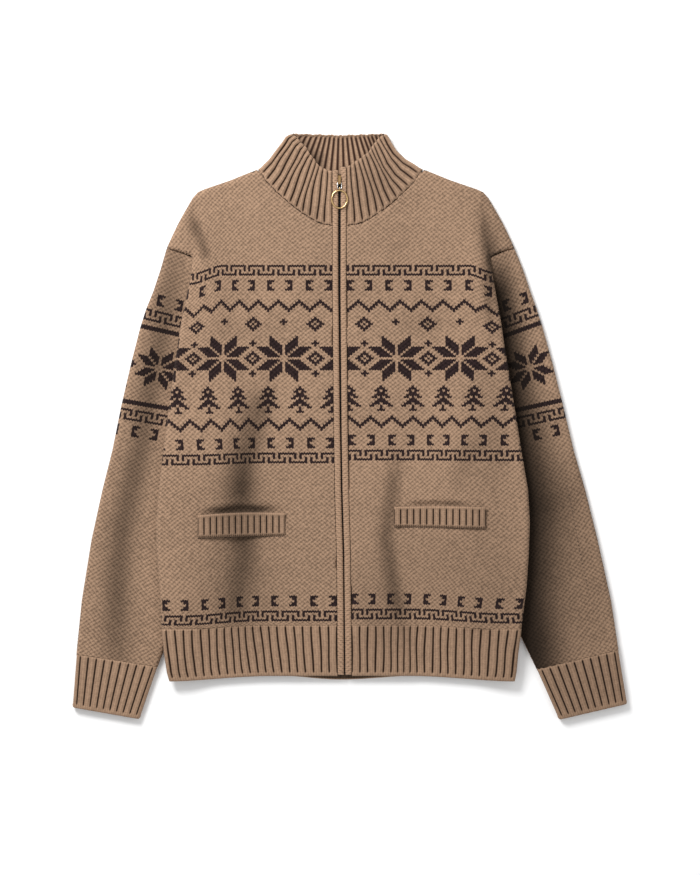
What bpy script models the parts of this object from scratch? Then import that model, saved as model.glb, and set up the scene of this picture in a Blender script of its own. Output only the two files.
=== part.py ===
# A chunky knitted zip cardigan laid flat on a table, front up, with its sleeves tucked under its sides.
# Lengths in the tables are millimetres in the garment's own frame: x runs across from the top of the
# zip, y up from the hem towards the collar and z up from the table. Right and left are the wearer's,
# so the right sleeve lies on the -x side. "Across" is the distance from the x = 0 line on either side.

import math
from collections import namedtuple

import bmesh
import bpy
from mathutils import Vector
from mathutils.bvhtree import BVHTree

MM = 0.001
SIDES = {"right": -1, "left": 1}

# Cloth
WALL = 4.5
LAYER_GAP = 3.3
SEAM_GAP = 0.3
BODY_DEPTH = 2 * WALL + LAYER_GAP
SLEEVE_DEPTH = 12.0
EDGE_RADIUS = 6.0
EDGE_SHOULDER = EDGE_RADIUS * (1 - math.sqrt(0.5))
TUCK_MARGIN = 2.0
UNDERARM_SLOPE = 20

# Ribs
RIB_WALL = 3.5
RIB_RISE = 1.5
HEM_RIBS = 21
HEM_HEIGHT = 65.0
HEM_MIDDLE = 2.6
HEM_CORNER = -4.2
HEM_SAG_START = 0.4
BACK_HEM_MIDDLE = -2.8
BACK_HEM_TUCK = 0.6
BACK_HEM_SHOWS = {"right": 95, "left": 120}
CUFF_RIBS = 9
COLLAR_RIBS_FRONT = 11
COLLAR_RIBS_BACK = 21

# Zip and the knit bands that cover it
BAND_WIDTH = 8.6
BAND_HALF_GAP = 0.9
BAND_RISE = 1.6
LEFT_BAND_EXTRA = 4.4
PANEL_EDGE = BAND_HALF_GAP + BAND_WIDTH + SEAM_GAP
ZIP_HALF_WIDTH = 12.0
ZIP_ENDS = (6, 682)
ZIP_TAPE = 1.2
ZIP_CHAIN_HALF = 2.4
ZIP_CHAIN_RISE = 0.3

# Slider, link and ring, from the slider's upper end down
SLIDER_TOP = 679.0
SLIDER_LENGTH = 12.0
SLIDER_WIDTH = 8.4
CROWN_WIDTH = 3.4
CROWN_TOP = 16.3
CROWN_INSET = 1.5
CROWN_BELOW_PIVOT = 1.6
CROWN_SINK = 0.6
PIVOT_PLAY = 0.35
SLIDER_BEVEL = 0.9
CUTTER_LENGTH = 20.0
LINK_PIVOT = (-1.4, 668.2, 14.9)
LINK_LENGTH = 7.4
LINK_WIDTH = 5.6
LINK_WIRE = 0.6
LINK_CORNER = 0.9
RING_PIVOT_Z = 15.5
RING_WIDTH = 23.2
RING_HEIGHT = 26.0
RING_WIRE = 1.1
RING_STEPS = 28
EYE_RADIUS = 1.55
EYE_WIRE = 0.6
EYE_SINK = 0.5

# Each row is one section of the body: where its side folds are, where the hidden inner edges of the
# sleeves run under it, how much the side is lifted by them, and how wide the slope up to there is.
BodySection = namedtuple("BodySection", "height fold_right fold_left tuck_right tuck_left lift slope")
BODY_SECTIONS = [
    BodySection(-8, 229, 234, 222, 227, 6.0, 55),
    BodySection(12, 234.5, 237.5, 225, 229, 8.5, 55),
    BodySection(40, 238.3, 240, 228, 232, 12.4, 55),
    BodySection(65, 240.7, 243.5, 226, 234, 12.5, 55),
    BodySection(125, 243.9, 251, 206, 214, 12.5, 55),
    BodySection(168, 247.8, 253.8, 192, 200, 12.5, 55),
    BodySection(211, 248.7, 255.2, 181, 188, 12.5, 55),
    BodySection(254, 245, 252.8, 174, 179, 12.5, 55),
    BodySection(308, 238.8, 243.7, 168.5, 172, 12.5, 55),
    BodySection(354, 232.9, 236.5, 166.5, 168, 12.5, 55),
    BodySection(400, 227, 229, 167, 168, 12.5, 50),
    BodySection(450, 219.4, 220.7, 177, 177, 12.5, 40),
    BodySection(480, 214.8, 216.5, 175, 175, 12.5, 28),
    BodySection(508, 208.9, 211.3, 176, 176, 12.5, 28),
    BodySection(536, 203.2, 206.7, 181, 181, 10.0, 28),
    BodySection(568, 199.1, 201, 190, 190, 6.2, 28),
]
UNDERARM = 450
TONGUE_TOP = 508
ARMHOLE_CREST = 568

# Rows of the yoke above the armhole: where the front's edge along the zip and the neck is, the
# crease beside the shoulder, and the lift that fades there. Above the last crease the crease
# columns follow the shoulder's edge.
YokeRow = namedtuple("YokeRow", "height neck_across crease lift")
YOKE_ROWS = [
    YokeRow(590, None, 199, 5.0),
    YokeRow(611.6, None, 199, 3.6),
    YokeRow(614.4, 28, 199, 3.4),
    YokeRow(624, 45, 198, 2.6),
    YokeRow(636.5, 63, None, 1.5),
    YokeRow(648.5, 77, None, 0.6),
    YokeRow(656.5, 85.7, None, 0.2),
    YokeRow(660.5, 90, None, 0.0),
    YokeRow(672.5, 101, None, 0.0),
]
NECK_SIDE = (109.0, 688.0)
SHOULDER_NECK = (112.6, 687.0)
BACK_NECK = [(0, 660.5), (68, 672.5)]
CREASE_DEPTH = 1.6
FLAP_INSET = 13.0
FULL_YOKE_WIDTH = 40.0

# Outline of the shoulder from the sleeve seam's outer end to the neck
ShoulderPoint = namedtuple("ShoulderPoint", "across height")
SHOULDER = [
    ShoulderPoint(235.3, 580),
    ShoulderPoint(224.9, 603.9),
    ShoulderPoint(212.5, 627),
    ShoulderPoint(199.2, 649.6),
    ShoulderPoint(191.5, 658),
    ShoulderPoint(160, 668.5),
    ShoulderPoint(134.3, 677.7),
    ShoulderPoint(109.5, 688.8),
]

# The sleeve seam, from the shoulder's outer point down and inwards to the underarm
ArmholePoint = namedtuple("ArmholePoint", "across height")
ARMHOLE = [
    ArmholePoint(235.3, 580),
    ArmholePoint(224, 577.6),
    ArmholePoint(211, 573),
    ArmholePoint(199.3, 567.7),
    ArmholePoint(188, 552),
    ArmholePoint(180.5, 530),
    ArmholePoint(176.5, 508),
    ArmholePoint(175.5, 480),
    ArmholePoint(177.5, 450),
]

# One row for each section across a sleeve, from the cuff's seam up to the armhole. Bend is the
# share of the armhole's curve in that section.
SleeveSection = namedtuple("SleeveSection", "outer outer_height inner inner_height bend")
SLEEVES = {
    "right": [
        SleeveSection(357.1, 31.7, 247, 14.9, 0),
        SleeveSection(349.8, 105.3, 221, 82.3, 0),
        SleeveSection(336.8, 186.3, 197, 159.3, 0),
        SleeveSection(322, 253.8, 180.5, 225.5, 0),
        SleeveSection(308.5, 307.8, 173.5, 279.5, 0),
        SleeveSection(296.3, 368.6, 169, 339, 0),
        SleeveSection(282.8, 426.6, 169, 396, 0),
        SleeveSection(270.7, 473.9, 174, 438, 0),
        SleeveSection(263, 498.2, 176, 443, 0.2),
        SleeveSection(253.1, 522.5, 177, 446, 0.45),
        SleeveSection(243.7, 550.8, 177.5, 448.3, 0.72),
    ],
    "left": [
        SleeveSection(375.8, 37.8, 265.3, 10.8, 0),
        SleeveSection(365.6, 105.3, 231, 82.3, 0),
        SleeveSection(347.6, 186.3, 205, 159.3, 0),
        SleeveSection(330.8, 253.8, 187, 225.5, 0),
        SleeveSection(315.2, 307.8, 177, 279.5, 0),
        SleeveSection(300.8, 368.6, 171, 339, 0),
        SleeveSection(286.3, 426.6, 170, 396, 0),
        SleeveSection(273.1, 473.9, 174.5, 438, 0),
        SleeveSection(265.3, 498.2, 176, 443, 0.2),
        SleeveSection(256.5, 522.5, 177, 446, 0.45),
        SleeveSection(247.1, 550.8, 177.5, 448.3, 0.72),
    ],
}

# Places round the armhole that a sleeve's flat underside keeps, and the way across the cuff's seam
SLEEVE_UNDERSIDE = (0, 1, 2, 4, 7, 9, 10, 11)
CUFF_SEAM_WAY = (0.15, 0.98)

# The two ends of each cuff's open edge
CuffEnd = namedtuple("CuffEnd", "outer outer_height inner inner_height")
CUFF_ENDS = {
    "right": CuffEnd(362.6, -39.8, 271.4, -55.8),
    "left": CuffEnd(387.8, -35.1, 295, -56.7),
}

# Front rim of the collar, from the zip to just inside its side fold
RimPoint = namedtuple("RimPoint", "across_right height_right across_left height_left")
COLLAR_RIM = [
    RimPoint(8.5, 685.3, 8.5, 690.8),
    RimPoint(22.3, 687.4, 15.5, 694.7),
    RimPoint(31, 694.7, 25.9, 702),
    RimPoint(37, 703.4, 36.2, 709.4),
    RimPoint(44.3, 716.9, 43.5, 718.2),
    RimPoint(53.1, 728.5, 49.3, 727),
    RimPoint(59.5, 733.4, 58.5, 733.2),
]
COLLAR_FOLD_BASE = (109.2, 690.0)
COLLAR_FOLD_TOP = (64, 736.2)
COLLAR_BACK_TOP = 734.3
FOLD_INWARD = (-0.7071, -0.7071)
BACK_BASE_RUN = (-0.8, -0.3)
COLLAR_BASE_START = 611.6
COLLAR_BASE_END = (104.3, 683)
COLLAR_SEAM_WAY = (-0.6, 0.8)
COLLAR_SEAM_GAP = 0.4
COLLAR_BACK_GAP = 0.5

# How far across the collar's side folds stand from a straight line between their ends, where
# height is the share of the way up, and the shares of the front and of the back that they leave still
FoldBow = namedtuple("FoldBow", "height right left")
COLLAR_FOLD_BOW = [
    FoldBow(0, 0, 0),
    FoldBow(0.25, -0.9, -9.1),
    FoldBow(0.5, 2.0, -10.1),
    FoldBow(0.75, 4.3, -6.1),
    FoldBow(0.9, 6.4, -3.0),
    FoldBow(1, 4.0, -1.2),
]
STILL_FRONT = 0.35
STILL_BACK = 0.2

# The collar's columns round its side folds: how far in, the height round the roll from 1 on the
# front to -1 on the back, and the way in along the rim
FoldColumn = namedtuple("FoldColumn", "inset roll rim_way")
COLLAR_FOLD_COLUMNS = [
    FoldColumn(EDGE_SHOULDER, math.sqrt(0.5), (-0.8, -0.6)),
    FoldColumn(0, 0, (0, 0)),
    FoldColumn(EDGE_SHOULDER, -math.sqrt(0.5), (-1, 0)),
]

# Middle line of the zip, which wanders a little as it lies
ZipPoint = namedtuple("ZipPoint", "height x half_gap floor")
ZIP_LINE = [
    ZipPoint(4, 5.7, 0.8, 8.1),
    ZipPoint(65, 5.1, 0.8, 8.1),
    ZipPoint(166, 4.3, 0.8, 8.1),
    ZipPoint(255, 1.6, 0.9, 8.1),
    ZipPoint(340, 0.4, 1.0, 8.1),
    ZipPoint(430, -0.6, 1.2, 8.1),
    ZipPoint(520, -1.4, 1.4, 8.1),
    ZipPoint(611, -1.4, 1.5, 8.1),
    ZipPoint(655, -1.4, 1.6, 8.1),
    ZipPoint(664, -1.4, 2.1, 11.0),
    ZipPoint(681, -1.4, 2.1, 11.0),
    ZipPoint(686, -1.4, 1.4, 8.1),
]

# The rounded edges of a band, each point as how far in it is and how far below the crest
BAND_ZIP_EDGE = [(0, 1.4), (1.4, 0.2)]
BAND_OUTER_EDGE = [(1.4, 0.4), (0, 2.0)]

# Pocket welts: the ends and the two heights of each, and its ribs
Welt = namedtuple("Welt", "inner outer top_inner top_outer bottom_inner bottom_outer ribs")
WELTS = {
    "right": Welt(74.4, 191.8, 222.8, 220.2, 192.5, 189.8, 14),
    "left": Welt(72.4, 195.6, 231.3, 231.3, 204.8, 202.2, 14),
}
WELT_WALL = 3.0
WELT_RIB_RISE = 1.1
WELT_HEM = 1.8
WELT_LIFT = 0.4
WELT_GAPE = 1.6
WELT_ROWS = (0, 0.26, 1)
RAY_FROM = 60.0

COLOURS = {
    "knit": (0.40, 0.25, 0.165, 1),
    "rib": (0.36, 0.225, 0.155, 1),
    "zip": (0.02, 0.015, 0.013, 1),
    "brass": (0.78, 0.55, 0.27, 1),
    "nickel": (0.80, 0.80, 0.80, 1),
}


def clear_scene():
    for old in list(bpy.data.objects):
        bpy.data.objects.remove(old, do_unlink=True)


def lerp(a, b, t):
    return a + (b - a) * t


def smooth(t):
    t = min(max(t, 0.0), 1.0)
    return t * t * (3 - 2 * t)


def between(table, column, height):
    """Reads a table's column at a height, straight between its rows."""
    rows = [(row.height, getattr(row, column)) for row in table]
    for (h0, v0), (h1, v1) in zip(rows, rows[1:]):
        if height <= h1:
            return lerp(v0, v1, (height - h0) / (h1 - h0))
    return rows[-1][1]


def along(points, distance):
    """Point at a distance along a line of (across, height) points."""
    for p, q in zip(points, points[1:]):
        step = math.dist(p, q)
        if distance <= step:
            return (lerp(p[0], q[0], distance / step), lerp(p[1], q[1], distance / step))
        distance -= step
    return tuple(points[-1])[:2]


def length_of(points):
    return sum(math.dist(p, q) for p, q in zip(points, points[1:]))


def moved(point, direction, distance):
    return (point[0] + direction[0] * distance, point[1] + direction[1] * distance)


def material(name):
    made = bpy.data.materials.get(name)
    if made is None:
        made = bpy.data.materials.new(name)
        made.use_nodes = True
        shader = made.node_tree.nodes["Principled BSDF"]
        shader.inputs["Base Color"].default_value = COLOURS[name]
        metal = name in ("brass", "nickel")
        shader.inputs["Metallic"].default_value = 1.0 if metal else 0.0
        shader.inputs["Roughness"].default_value = 0.3 if metal else 0.95
    return made


def add_object(name, mesh, look, sharp_angle=40):
    made = bpy.data.objects.new(name, mesh)
    made.data.materials.clear()
    made.data.materials.append(material(look))
    made.data.shade_smooth()
    made.data.set_sharp_from_angle(angle=math.radians(sharp_angle))
    PARTS.objects.link(made)
    return made


class Wall:
    """A cloth wall: matching outer and inner points, joined by faces and closed along its free edges."""

    def __init__(self):
        self.points = {}
        self.faces = []

    def add(self, key, outer, inner):
        self.points[key] = (Vector(outer), Vector(inner))

    def face(self, *keys):
        ring = [key for place, key in enumerate(keys) if key != keys[place - 1]]
        if len(ring) > 2:
            self.faces.append(ring)

    def grid(self, keys):
        """Faces over rows of keys. A None leaves its cells out."""
        for low, high in zip(keys, keys[1:]):
            for a, b, c, d in zip(low, low[1:], high[1:], high):
                if None not in (a, b, c, d):
                    self.face(a, b, c, d)

    def build(self, name, look):
        mesh = bmesh.new()
        outer = {}
        inner = {}
        for key in sorted({key for ring in self.faces for key in ring}, key=str):
            outer[key] = mesh.verts.new(self.points[key][0] * MM)
            inner[key] = mesh.verts.new(self.points[key][1] * MM)
        edges = set()
        for ring in self.faces:
            mesh.faces.new([outer[key] for key in ring])
            mesh.faces.new([inner[key] for key in reversed(ring)])
            edges |= {(ring[place - 1], ring[place]) for place in range(len(ring))}
        for a, b in sorted(edges, key=str):
            if (b, a) not in edges:
                mesh.faces.new([outer[b], outer[a], inner[a], inner[b]])
        bmesh.ops.recalc_face_normals(mesh, faces=mesh.faces)
        data = bpy.data.meshes.new(name)
        mesh.to_mesh(data)
        mesh.free()
        return add_object(name, data, look)


def bar(name, rings, look):
    """A solid bar through closed rings of points, with flat ends."""
    mesh = bmesh.new()
    rows = [[mesh.verts.new(Vector(point) * MM) for point in ring] for ring in rings]
    for low, high in zip(rows, rows[1:]):
        for place in range(len(low)):
            mesh.faces.new([low[place - 1], low[place], high[place], high[place - 1]])
    mesh.faces.new(rows[0])
    mesh.faces.new(rows[-1][::-1])
    bmesh.ops.recalc_face_normals(mesh, faces=mesh.faces)
    data = bpy.data.meshes.new(name)
    mesh.to_mesh(data)
    mesh.free()
    return add_object(name, data, look)


def outline_of(side):
    """The body's outline on one side as (across, height) points, from the hem up to the neck."""
    folds = [(getattr(row, "fold_" + side), row.height) for row in BODY_SECTIONS]
    return folds, [tuple(point) for point in SHOULDER]


def inward(outline, point):
    """How far a point is from an outline, the direction inwards there, and the nearest point on it."""
    best = None
    for p, q in zip(outline, outline[1:]):
        run = (q[0] - p[0], q[1] - p[1])
        size = math.hypot(*run)
        t = ((point[0] - p[0]) * run[0] + (point[1] - p[1]) * run[1]) / size**2
        near = moved(p, run, min(max(t, 0), 1))
        gap = math.dist(near, point)
        if best is None or gap < best[0] - 1e-6:
            best = (gap, (-run[1] / size, run[0] / size), near)
    return best


def rounded(outline, point, middle, sign):
    """Outer and inner points of a wall at a plan point, with the wall rolled round the outline.

    middle is the height of the roll's centre, and sign is 1 for the upper wall and -1 for the lower.
    """
    distance, direction, near = inward(outline, point)
    inner_radius = EDGE_RADIUS - WALL
    if distance >= EDGE_RADIUS:
        return ((*point, middle + sign * EDGE_RADIUS), (*point, middle + sign * inner_radius))
    centre = moved(near, direction, EDGE_RADIUS)
    flat = EDGE_RADIUS - distance
    rise = math.sqrt(max(EDGE_RADIUS**2 - flat**2, 0))
    share = inner_radius / EDGE_RADIUS
    inner_plan = (lerp(centre[0], point[0], share), lerp(centre[1], point[1], share))
    return ((*point, middle + sign * rise), (*inner_plan, middle + sign * rise * share))


def lift_at(side, across, height, slope=None):
    """How much the sleeve below raises the body there."""
    row_lift = between(BODY_SECTIONS, "lift", height)
    tuck = between(BODY_SECTIONS, "tuck_" + side, height) - TUCK_MARGIN
    width = slope or between(BODY_SECTIONS, "slope", height)
    return row_lift * smooth((across - tuck + width) / width)


def section_across(side, height, start):
    """Distances across of the body's columns at a height, from start out to the side fold."""
    fold = between(BODY_SECTIONS, "fold_" + side, height)
    tuck = between(BODY_SECTIONS, "tuck_" + side, height) - TUCK_MARGIN
    foot = tuck - between(BODY_SECTIONS, "slope", height)
    flat = [lerp(start, foot, share / 4) for share in range(4)]
    slope = [lerp(foot, tuck, share / 3) for share in range(3)]
    return flat + slope + [tuck, fold - EDGE_RADIUS, fold - EDGE_SHOULDER, fold]


MAIN_COLUMNS = 8
FOLD_COLUMN = MAIN_COLUMNS + 2


def armhole_marks():
    """The seam's points that the sleeve's last ring and the yoke's lower edge share."""
    points = [tuple(point) for point in ARMHOLE]
    total = length_of(points)
    crest = length_of(points[:4])
    marks = [0, EDGE_SHOULDER, EDGE_RADIUS, crest / 2, crest]
    marks += [lerp(crest, total - EDGE_RADIUS, share / 5) for share in range(1, 6)]
    marks += [total - EDGE_SHOULDER, total]
    return [along(points, mark) for mark in marks]


def armhole_across(height):
    marks = armhole_marks()
    for p, q in zip(marks, marks[1:]):
        if q[1] <= height <= p[1]:
            return lerp(p[0], q[0], (p[1] - height) / (p[1] - q[1]))
    return marks[-1][0]


def zip_x(height):
    return between(ZIP_LINE, "x", min(max(height, ZIP_LINE[0].height), ZIP_LINE[-1].height))


def front_start(side, height):
    """Distance across of a front's edge beside the zip bands."""
    return PANEL_EDGE + SIDES[side] * zip_x(height)


def yoke_rows(side, starts):
    """Plan points of the yoke's rows, from the armhole's crest up to the neck.

    starts gives each row's first point, at the zip, the neck or the middle of the back.
    """
    shoulder = [tuple(point) for point in SHOULDER]
    marks = armhole_marks()
    base = section_across(side, ARMHOLE_CREST, starts[0][0])
    shares = [(across - base[0]) / (base[MAIN_COLUMNS] - base[0]) for across in base[: MAIN_COLUMNS + 1]]
    rows = [[(across, ARMHOLE_CREST) for across in base[:FOLD_COLUMN]]]
    rows[0] += [moved(marks[place], (0, 1), SEAM_GAP) for place in (4, 3, 2, 1, 0)]
    tops = list(YOKE_ROWS) + [YokeRow(NECK_SIDE[1], NECK_SIDE[0], None, 0.0)]
    for row, start in zip(tops, starts[1:]):
        edge = SHOULDER_NECK if row.height == NECK_SIDE[1] else None
        if edge is None:
            edge = next(
                (lerp(p[0], q[0], (row.height - p[1]) / (q[1] - p[1])), row.height)
                for p, q in zip(shoulder, shoulder[1:])
                if p[1] <= row.height <= q[1]
            )
        direction = inward(shoulder, edge)[1]
        rim = [moved(edge, direction, inset) for inset in (EDGE_RADIUS, EDGE_SHOULDER, 0)]
        if row.crease is None:
            room = min(1.0, math.dist(start, edge) / FULL_YOKE_WIDTH)
            widest = FLAP_INSET + EDGE_RADIUS
            insets = [widest, FLAP_INSET + EDGE_SHOULDER, FLAP_INSET, widest / 2]
            insets = [EDGE_RADIUS + (inset - EDGE_RADIUS) * room for inset in insets]
            crease = [moved(edge, direction, inset) for inset in insets]
        else:
            crease = [(row.crease - inset, row.height) for inset in (EDGE_RADIUS, EDGE_SHOULDER, 0)]
            crease.append((lerp(row.crease, rim[0][0], 0.5), row.height))
        main = [
            (lerp(start[0], crease[0][0], share), lerp(start[1], crease[0][1], share))
            for share in shares
        ]
        rows.append(main + crease[1:] + rim)
    return rows


def yoke_lift(row, column):
    """Lift of the yoke's columns: the swell beside the crease, and the crease's own dip."""
    lifts = [between(BODY_SECTIONS, "lift", ARMHOLE_CREST)] + [line.lift for line in YOKE_ROWS] + [0.0]
    swell = (0, 0, 0, 0, 0, 0.26, 0.74, 1, 1, 0.7)
    if column < len(swell):
        return lifts[row] * swell[column]
    if column == FOLD_COLUMN and row > 0:
        return -CREASE_DEPTH * min(1, lifts[row] / 2)
    return 0.0


def place(side, point):
    return (SIDES[side] * point[0], *point[1:])


def body_heights(top):
    return [row.height for row in BODY_SECTIONS if HEM_HEIGHT <= row.height <= top]


def make_front(side):
    wall = Wall()
    outline = outline_of(side)
    keys = []
    heights = body_heights(ARMHOLE_CREST)
    upper = BODY_DEPTH - EDGE_RADIUS
    for row, height in enumerate(heights[:-1]):
        low = height + (SEAM_GAP if row == 0 else 0)
        line = []
        for column, across in enumerate(section_across(side, low, front_start(side, low))):
            middle = upper + lift_at(side, across, low)
            outer, inner = rounded(outline[0], (across, low), middle, 1)
            if column == 0:
                inner = (outer[0], outer[1], inner[2])
            line.append(("front", row, column))
            wall.add(line[-1], place(side, outer), place(side, inner))
        keys.append(line)
    starts = [(front_start(side, ARMHOLE_CREST), ARMHOLE_CREST)]
    starts += [(line.neck_across or front_start(side, line.height), line.height) for line in YOKE_ROWS]
    starts.append(NECK_SIDE)
    for row, points in enumerate(yoke_rows(side, starts)):
        line = []
        for column, point in enumerate(points):
            middle = upper + yoke_lift(row, column)
            edge = outline[0] if row == 0 and column <= FOLD_COLUMN else outline[1]
            if row == 0 and column == FOLD_COLUMN:
                point = (between(BODY_SECTIONS, "fold_" + side, ARMHOLE_CREST), ARMHOLE_CREST)
                middle = upper + between(BODY_SECTIONS, "lift", ARMHOLE_CREST)
            outer, inner = rounded(edge, point, middle, 1)
            line.append(("yoke", row, column))
            wall.add(line[-1], place(side, outer), place(side, inner))
        if row == 0:
            keys.append(line[: FOLD_COLUMN + 1])
            yoke = [line]
        else:
            yoke.append(line)
    wall.grid(keys)
    wall.grid(yoke)
    return wall.build("front_" + side, "knit")


def make_back():
    wall = Wall()
    middle = EDGE_RADIUS
    for side in SIDES:
        outline = outline_of(side)
        floor_keys = []
        tongue_keys = []
        for row, height in enumerate(body_heights(ARMHOLE_CREST)[:-1]):
            low = height + (SEAM_GAP if row == 0 else 0)
            line = []
            tongue = []
            for column, across in enumerate(section_across(side, low, 0)):
                over_sleeve = height > UNDERARM and column >= MAIN_COLUMNS - 1
                lift = lift_at(side, across, low, UNDERARM_SLOPE if height == UNDERARM else None)
                if height > UNDERARM and not over_sleeve:
                    lift = 0
                outer, inner = rounded(outline[0], (across, low), middle + lift, -1)
                name = "back" if column == 0 else side
                key = (name, row, column)
                wall.add(key, place(side, outer), place(side, inner))
                line.append(None if over_sleeve else key)
                on_tongue = column >= MAIN_COLUMNS - 1 and UNDERARM <= height <= TONGUE_TOP
                tongue.append(key if on_tongue else None)
            if height > UNDERARM:
                edge = (armhole_across(height) - 3 * SEAM_GAP, height)
                key = (side, row, "armhole")
                wall.add(key, place(side, (*edge, 0)), place(side, (*edge, WALL)))
                line[MAIN_COLUMNS - 1] = key
            floor_keys.append(line)
            tongue_keys.append(tongue)
        starts = [(0, ARMHOLE_CREST)]
        starts += [(0, line.height) for line in YOKE_ROWS[:-1]] + [BACK_NECK[-1], NECK_SIDE]
        yoke = []
        for row, points in enumerate(yoke_rows(side, starts)):
            line = []
            for column, point in enumerate(points):
                outer, inner = rounded(outline[1], point, middle, -1)
                name = "back" if column == 0 and row < len(YOKE_ROWS) else side
                line.append((name, "yoke", row, column))
                wall.add(line[-1], place(side, outer), place(side, inner))
            yoke.append(line)
        floor_keys.append(yoke[0][:MAIN_COLUMNS] + [None] * 3)
        for keys in (floor_keys, tongue_keys, yoke):
            wall.grid([line[::-1] if side == "left" else line for line in keys])
    return wall.build("back", "knit")


def rib_marks(count):
    """Places along a ribbed stretch as (share, rise), with a narrow groove between broad ribs."""
    marks = [(0.0, 0.6)]
    for rib in range(count):
        marks += [((rib + 0.22) / count, 1.0), ((rib + 0.78) / count, 1.0)]
        marks.append(((rib + 1) / count, 0.0))
    marks[-1] = (1.0, 0.6)
    return marks


def hem_bottom(across, side, wall_name):
    """The hem's lower edge, sagging towards its corners, with the back below the front in the middle."""
    corner = between(BODY_SECTIONS, "fold_" + side, 0)
    sag = smooth((across / corner - HEM_SAG_START) / (1 - HEM_SAG_START))
    front = lerp(HEM_MIDDLE, HEM_CORNER, sag)
    if wall_name == "front":
        return front
    return lerp(BACK_HEM_MIDDLE, front + BACK_HEM_TUCK, smooth(across / BACK_HEM_SHOWS[side]))


def make_front_hem(side):
    wall = Wall()
    outline = outline_of(side)[0]
    upper = BODY_DEPTH - EDGE_RADIUS
    keys = []
    for row, share in enumerate((0, 0.4, 0.8, 1)):
        line = []
        guide = HEM_HEIGHT * share
        start = front_start(side, guide)
        fold = between(BODY_SECTIONS, "fold_" + side, guide)
        marks = [(lerp(start, fold - EDGE_RADIUS, mark), rise) for mark, rise in rib_marks(HEM_RIBS)]
        marks += [(fold - EDGE_SHOULDER, 0.6), (fold, 0.3)]
        for column, (across, rise) in enumerate(marks):
            height = lerp(hem_bottom(across, side, "front"), HEM_HEIGHT, share)
            middle = upper + lift_at(side, across, height)
            outer, inner = rounded(outline, (across, height), middle, 1)
            thin = WALL - RIB_WALL - RIB_RISE * rise
            outer = Vector(outer).lerp(Vector(inner), thin / WALL)
            line.append((row, column))
            wall.add(line[-1], place(side, outer), place(side, inner))
        keys.append(line)
    wall.grid(keys)
    return wall.build("hem_front_" + side, "rib")


def make_back_hem():
    wall = Wall()
    for side in SIDES:
        outline = outline_of(side)[0]
        keys = []
        for row, share in enumerate((0, 0.4, 0.8, 1)):
            line = []
            for column, across in enumerate(section_across(side, HEM_HEIGHT * share, 0)):
                height = lerp(hem_bottom(across, side, "back"), HEM_HEIGHT, share)
                middle = EDGE_RADIUS + lift_at(side, across, height)
                outer, inner = rounded(outline, (across, height), middle, -1)
                line.append(("back" if column == 0 else side, row, column))
                wall.add(line[-1], place(side, outer), place(side, inner))
            keys.append(line[::-1] if side == "left" else line)
        wall.grid(keys)
    return wall.build("hem_back", "rib")


def tube_ring(points, marks_top, depth, ribbed):
    """Outer and inner points round a flattened tube, from plan points across it and their insets."""
    middle = depth / 2
    ring = []
    run = (points[-1][0] - points[0][0], points[-1][1] - points[0][1])
    size = math.hypot(*run)
    direction = (run[0] / size, run[1] / size)
    inner_radius = EDGE_RADIUS - WALL
    share = inner_radius / EDGE_RADIUS
    order = [(place_on, 1) for place_on in range(len(points))]
    order += [(place_on, -1) for place_on in range(len(points) - 2, 0, -1)]
    for place_on, sign in order:
        inset, rise_share, plain_below = marks_top[place_on]
        if sign < 0 and plain_below is False:
            continue
        from_end = min(inset, EDGE_RADIUS)
        flat = EDGE_RADIUS - from_end
        rise = math.sqrt(max(EDGE_RADIUS**2 - flat**2, 0))
        point = points[place_on]
        away = 1 if place_on > len(points) / 2 else -1
        centre = moved(point, direction, -away * flat)
        inner = (lerp(centre[0], point[0], share), lerp(centre[1], point[1], share))
        high = rise
        if ribbed and sign > 0:
            high = rise - (EDGE_RADIUS - inner_radius - RIB_WALL - RIB_RISE * rise_share)
        if place_on in (0, len(points) - 1):
            high = 0
        ring.append(((*point, middle + sign * high), (*inner, middle + sign * rise * share)))
    return ring


def make_sleeve(side):
    wall = Wall()
    marks = armhole_marks()
    start, end = marks[0], marks[-1]
    steps = [0] + [math.dist(p, q) for p, q in zip(marks, marks[1:])]
    reached = [sum(steps[: place_on + 1]) for place_on in range(len(steps))]
    insets = [min(mark, reached[-1] - mark) for mark in reached]
    shares = [mark / reached[-1] for mark in reached]
    bows = [
        (point[0] - lerp(start[0], end[0], share), point[1] - lerp(start[1], end[1], share))
        for point, share in zip(marks, shares)
    ]
    below = [place_on in SLEEVE_UNDERSIDE for place_on in range(len(marks))]
    sections = SLEEVES[side] + [SleeveSection(*start, *end, 1)]
    rows = []
    for row, section in enumerate(sections):
        width = math.dist((section.outer, section.outer_height), (section.inner, section.inner_height))
        points = []
        for inset, share, bow in zip(insets, shares, bows):
            if inset <= EDGE_RADIUS + 1e-6:
                share = inset / width if share < 0.5 else 1 - inset / width
            point = (
                lerp(section.outer, section.inner, share) + bow[0] * section.bend,
                lerp(section.outer_height, section.inner_height, share) + bow[1] * section.bend,
            )
            points.append(point if section.bend < 1 else None)
        if section.bend == 1:
            points = list(marks)
        if row == 0:
            points = [moved(point, CUFF_SEAM_WAY, SEAM_GAP) for point in points]
        ring = tube_ring(points, list(zip(insets, insets, below)), SLEEVE_DEPTH, False)
        line = []
        for column, (outer, inner) in enumerate(ring):
            line.append((row, column))
            wall.add(line[-1], place(side, outer), place(side, inner))
        rows.append(line + line[:1])
    wall.grid(rows)
    return wall.build("sleeve_" + side, "knit")


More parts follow.
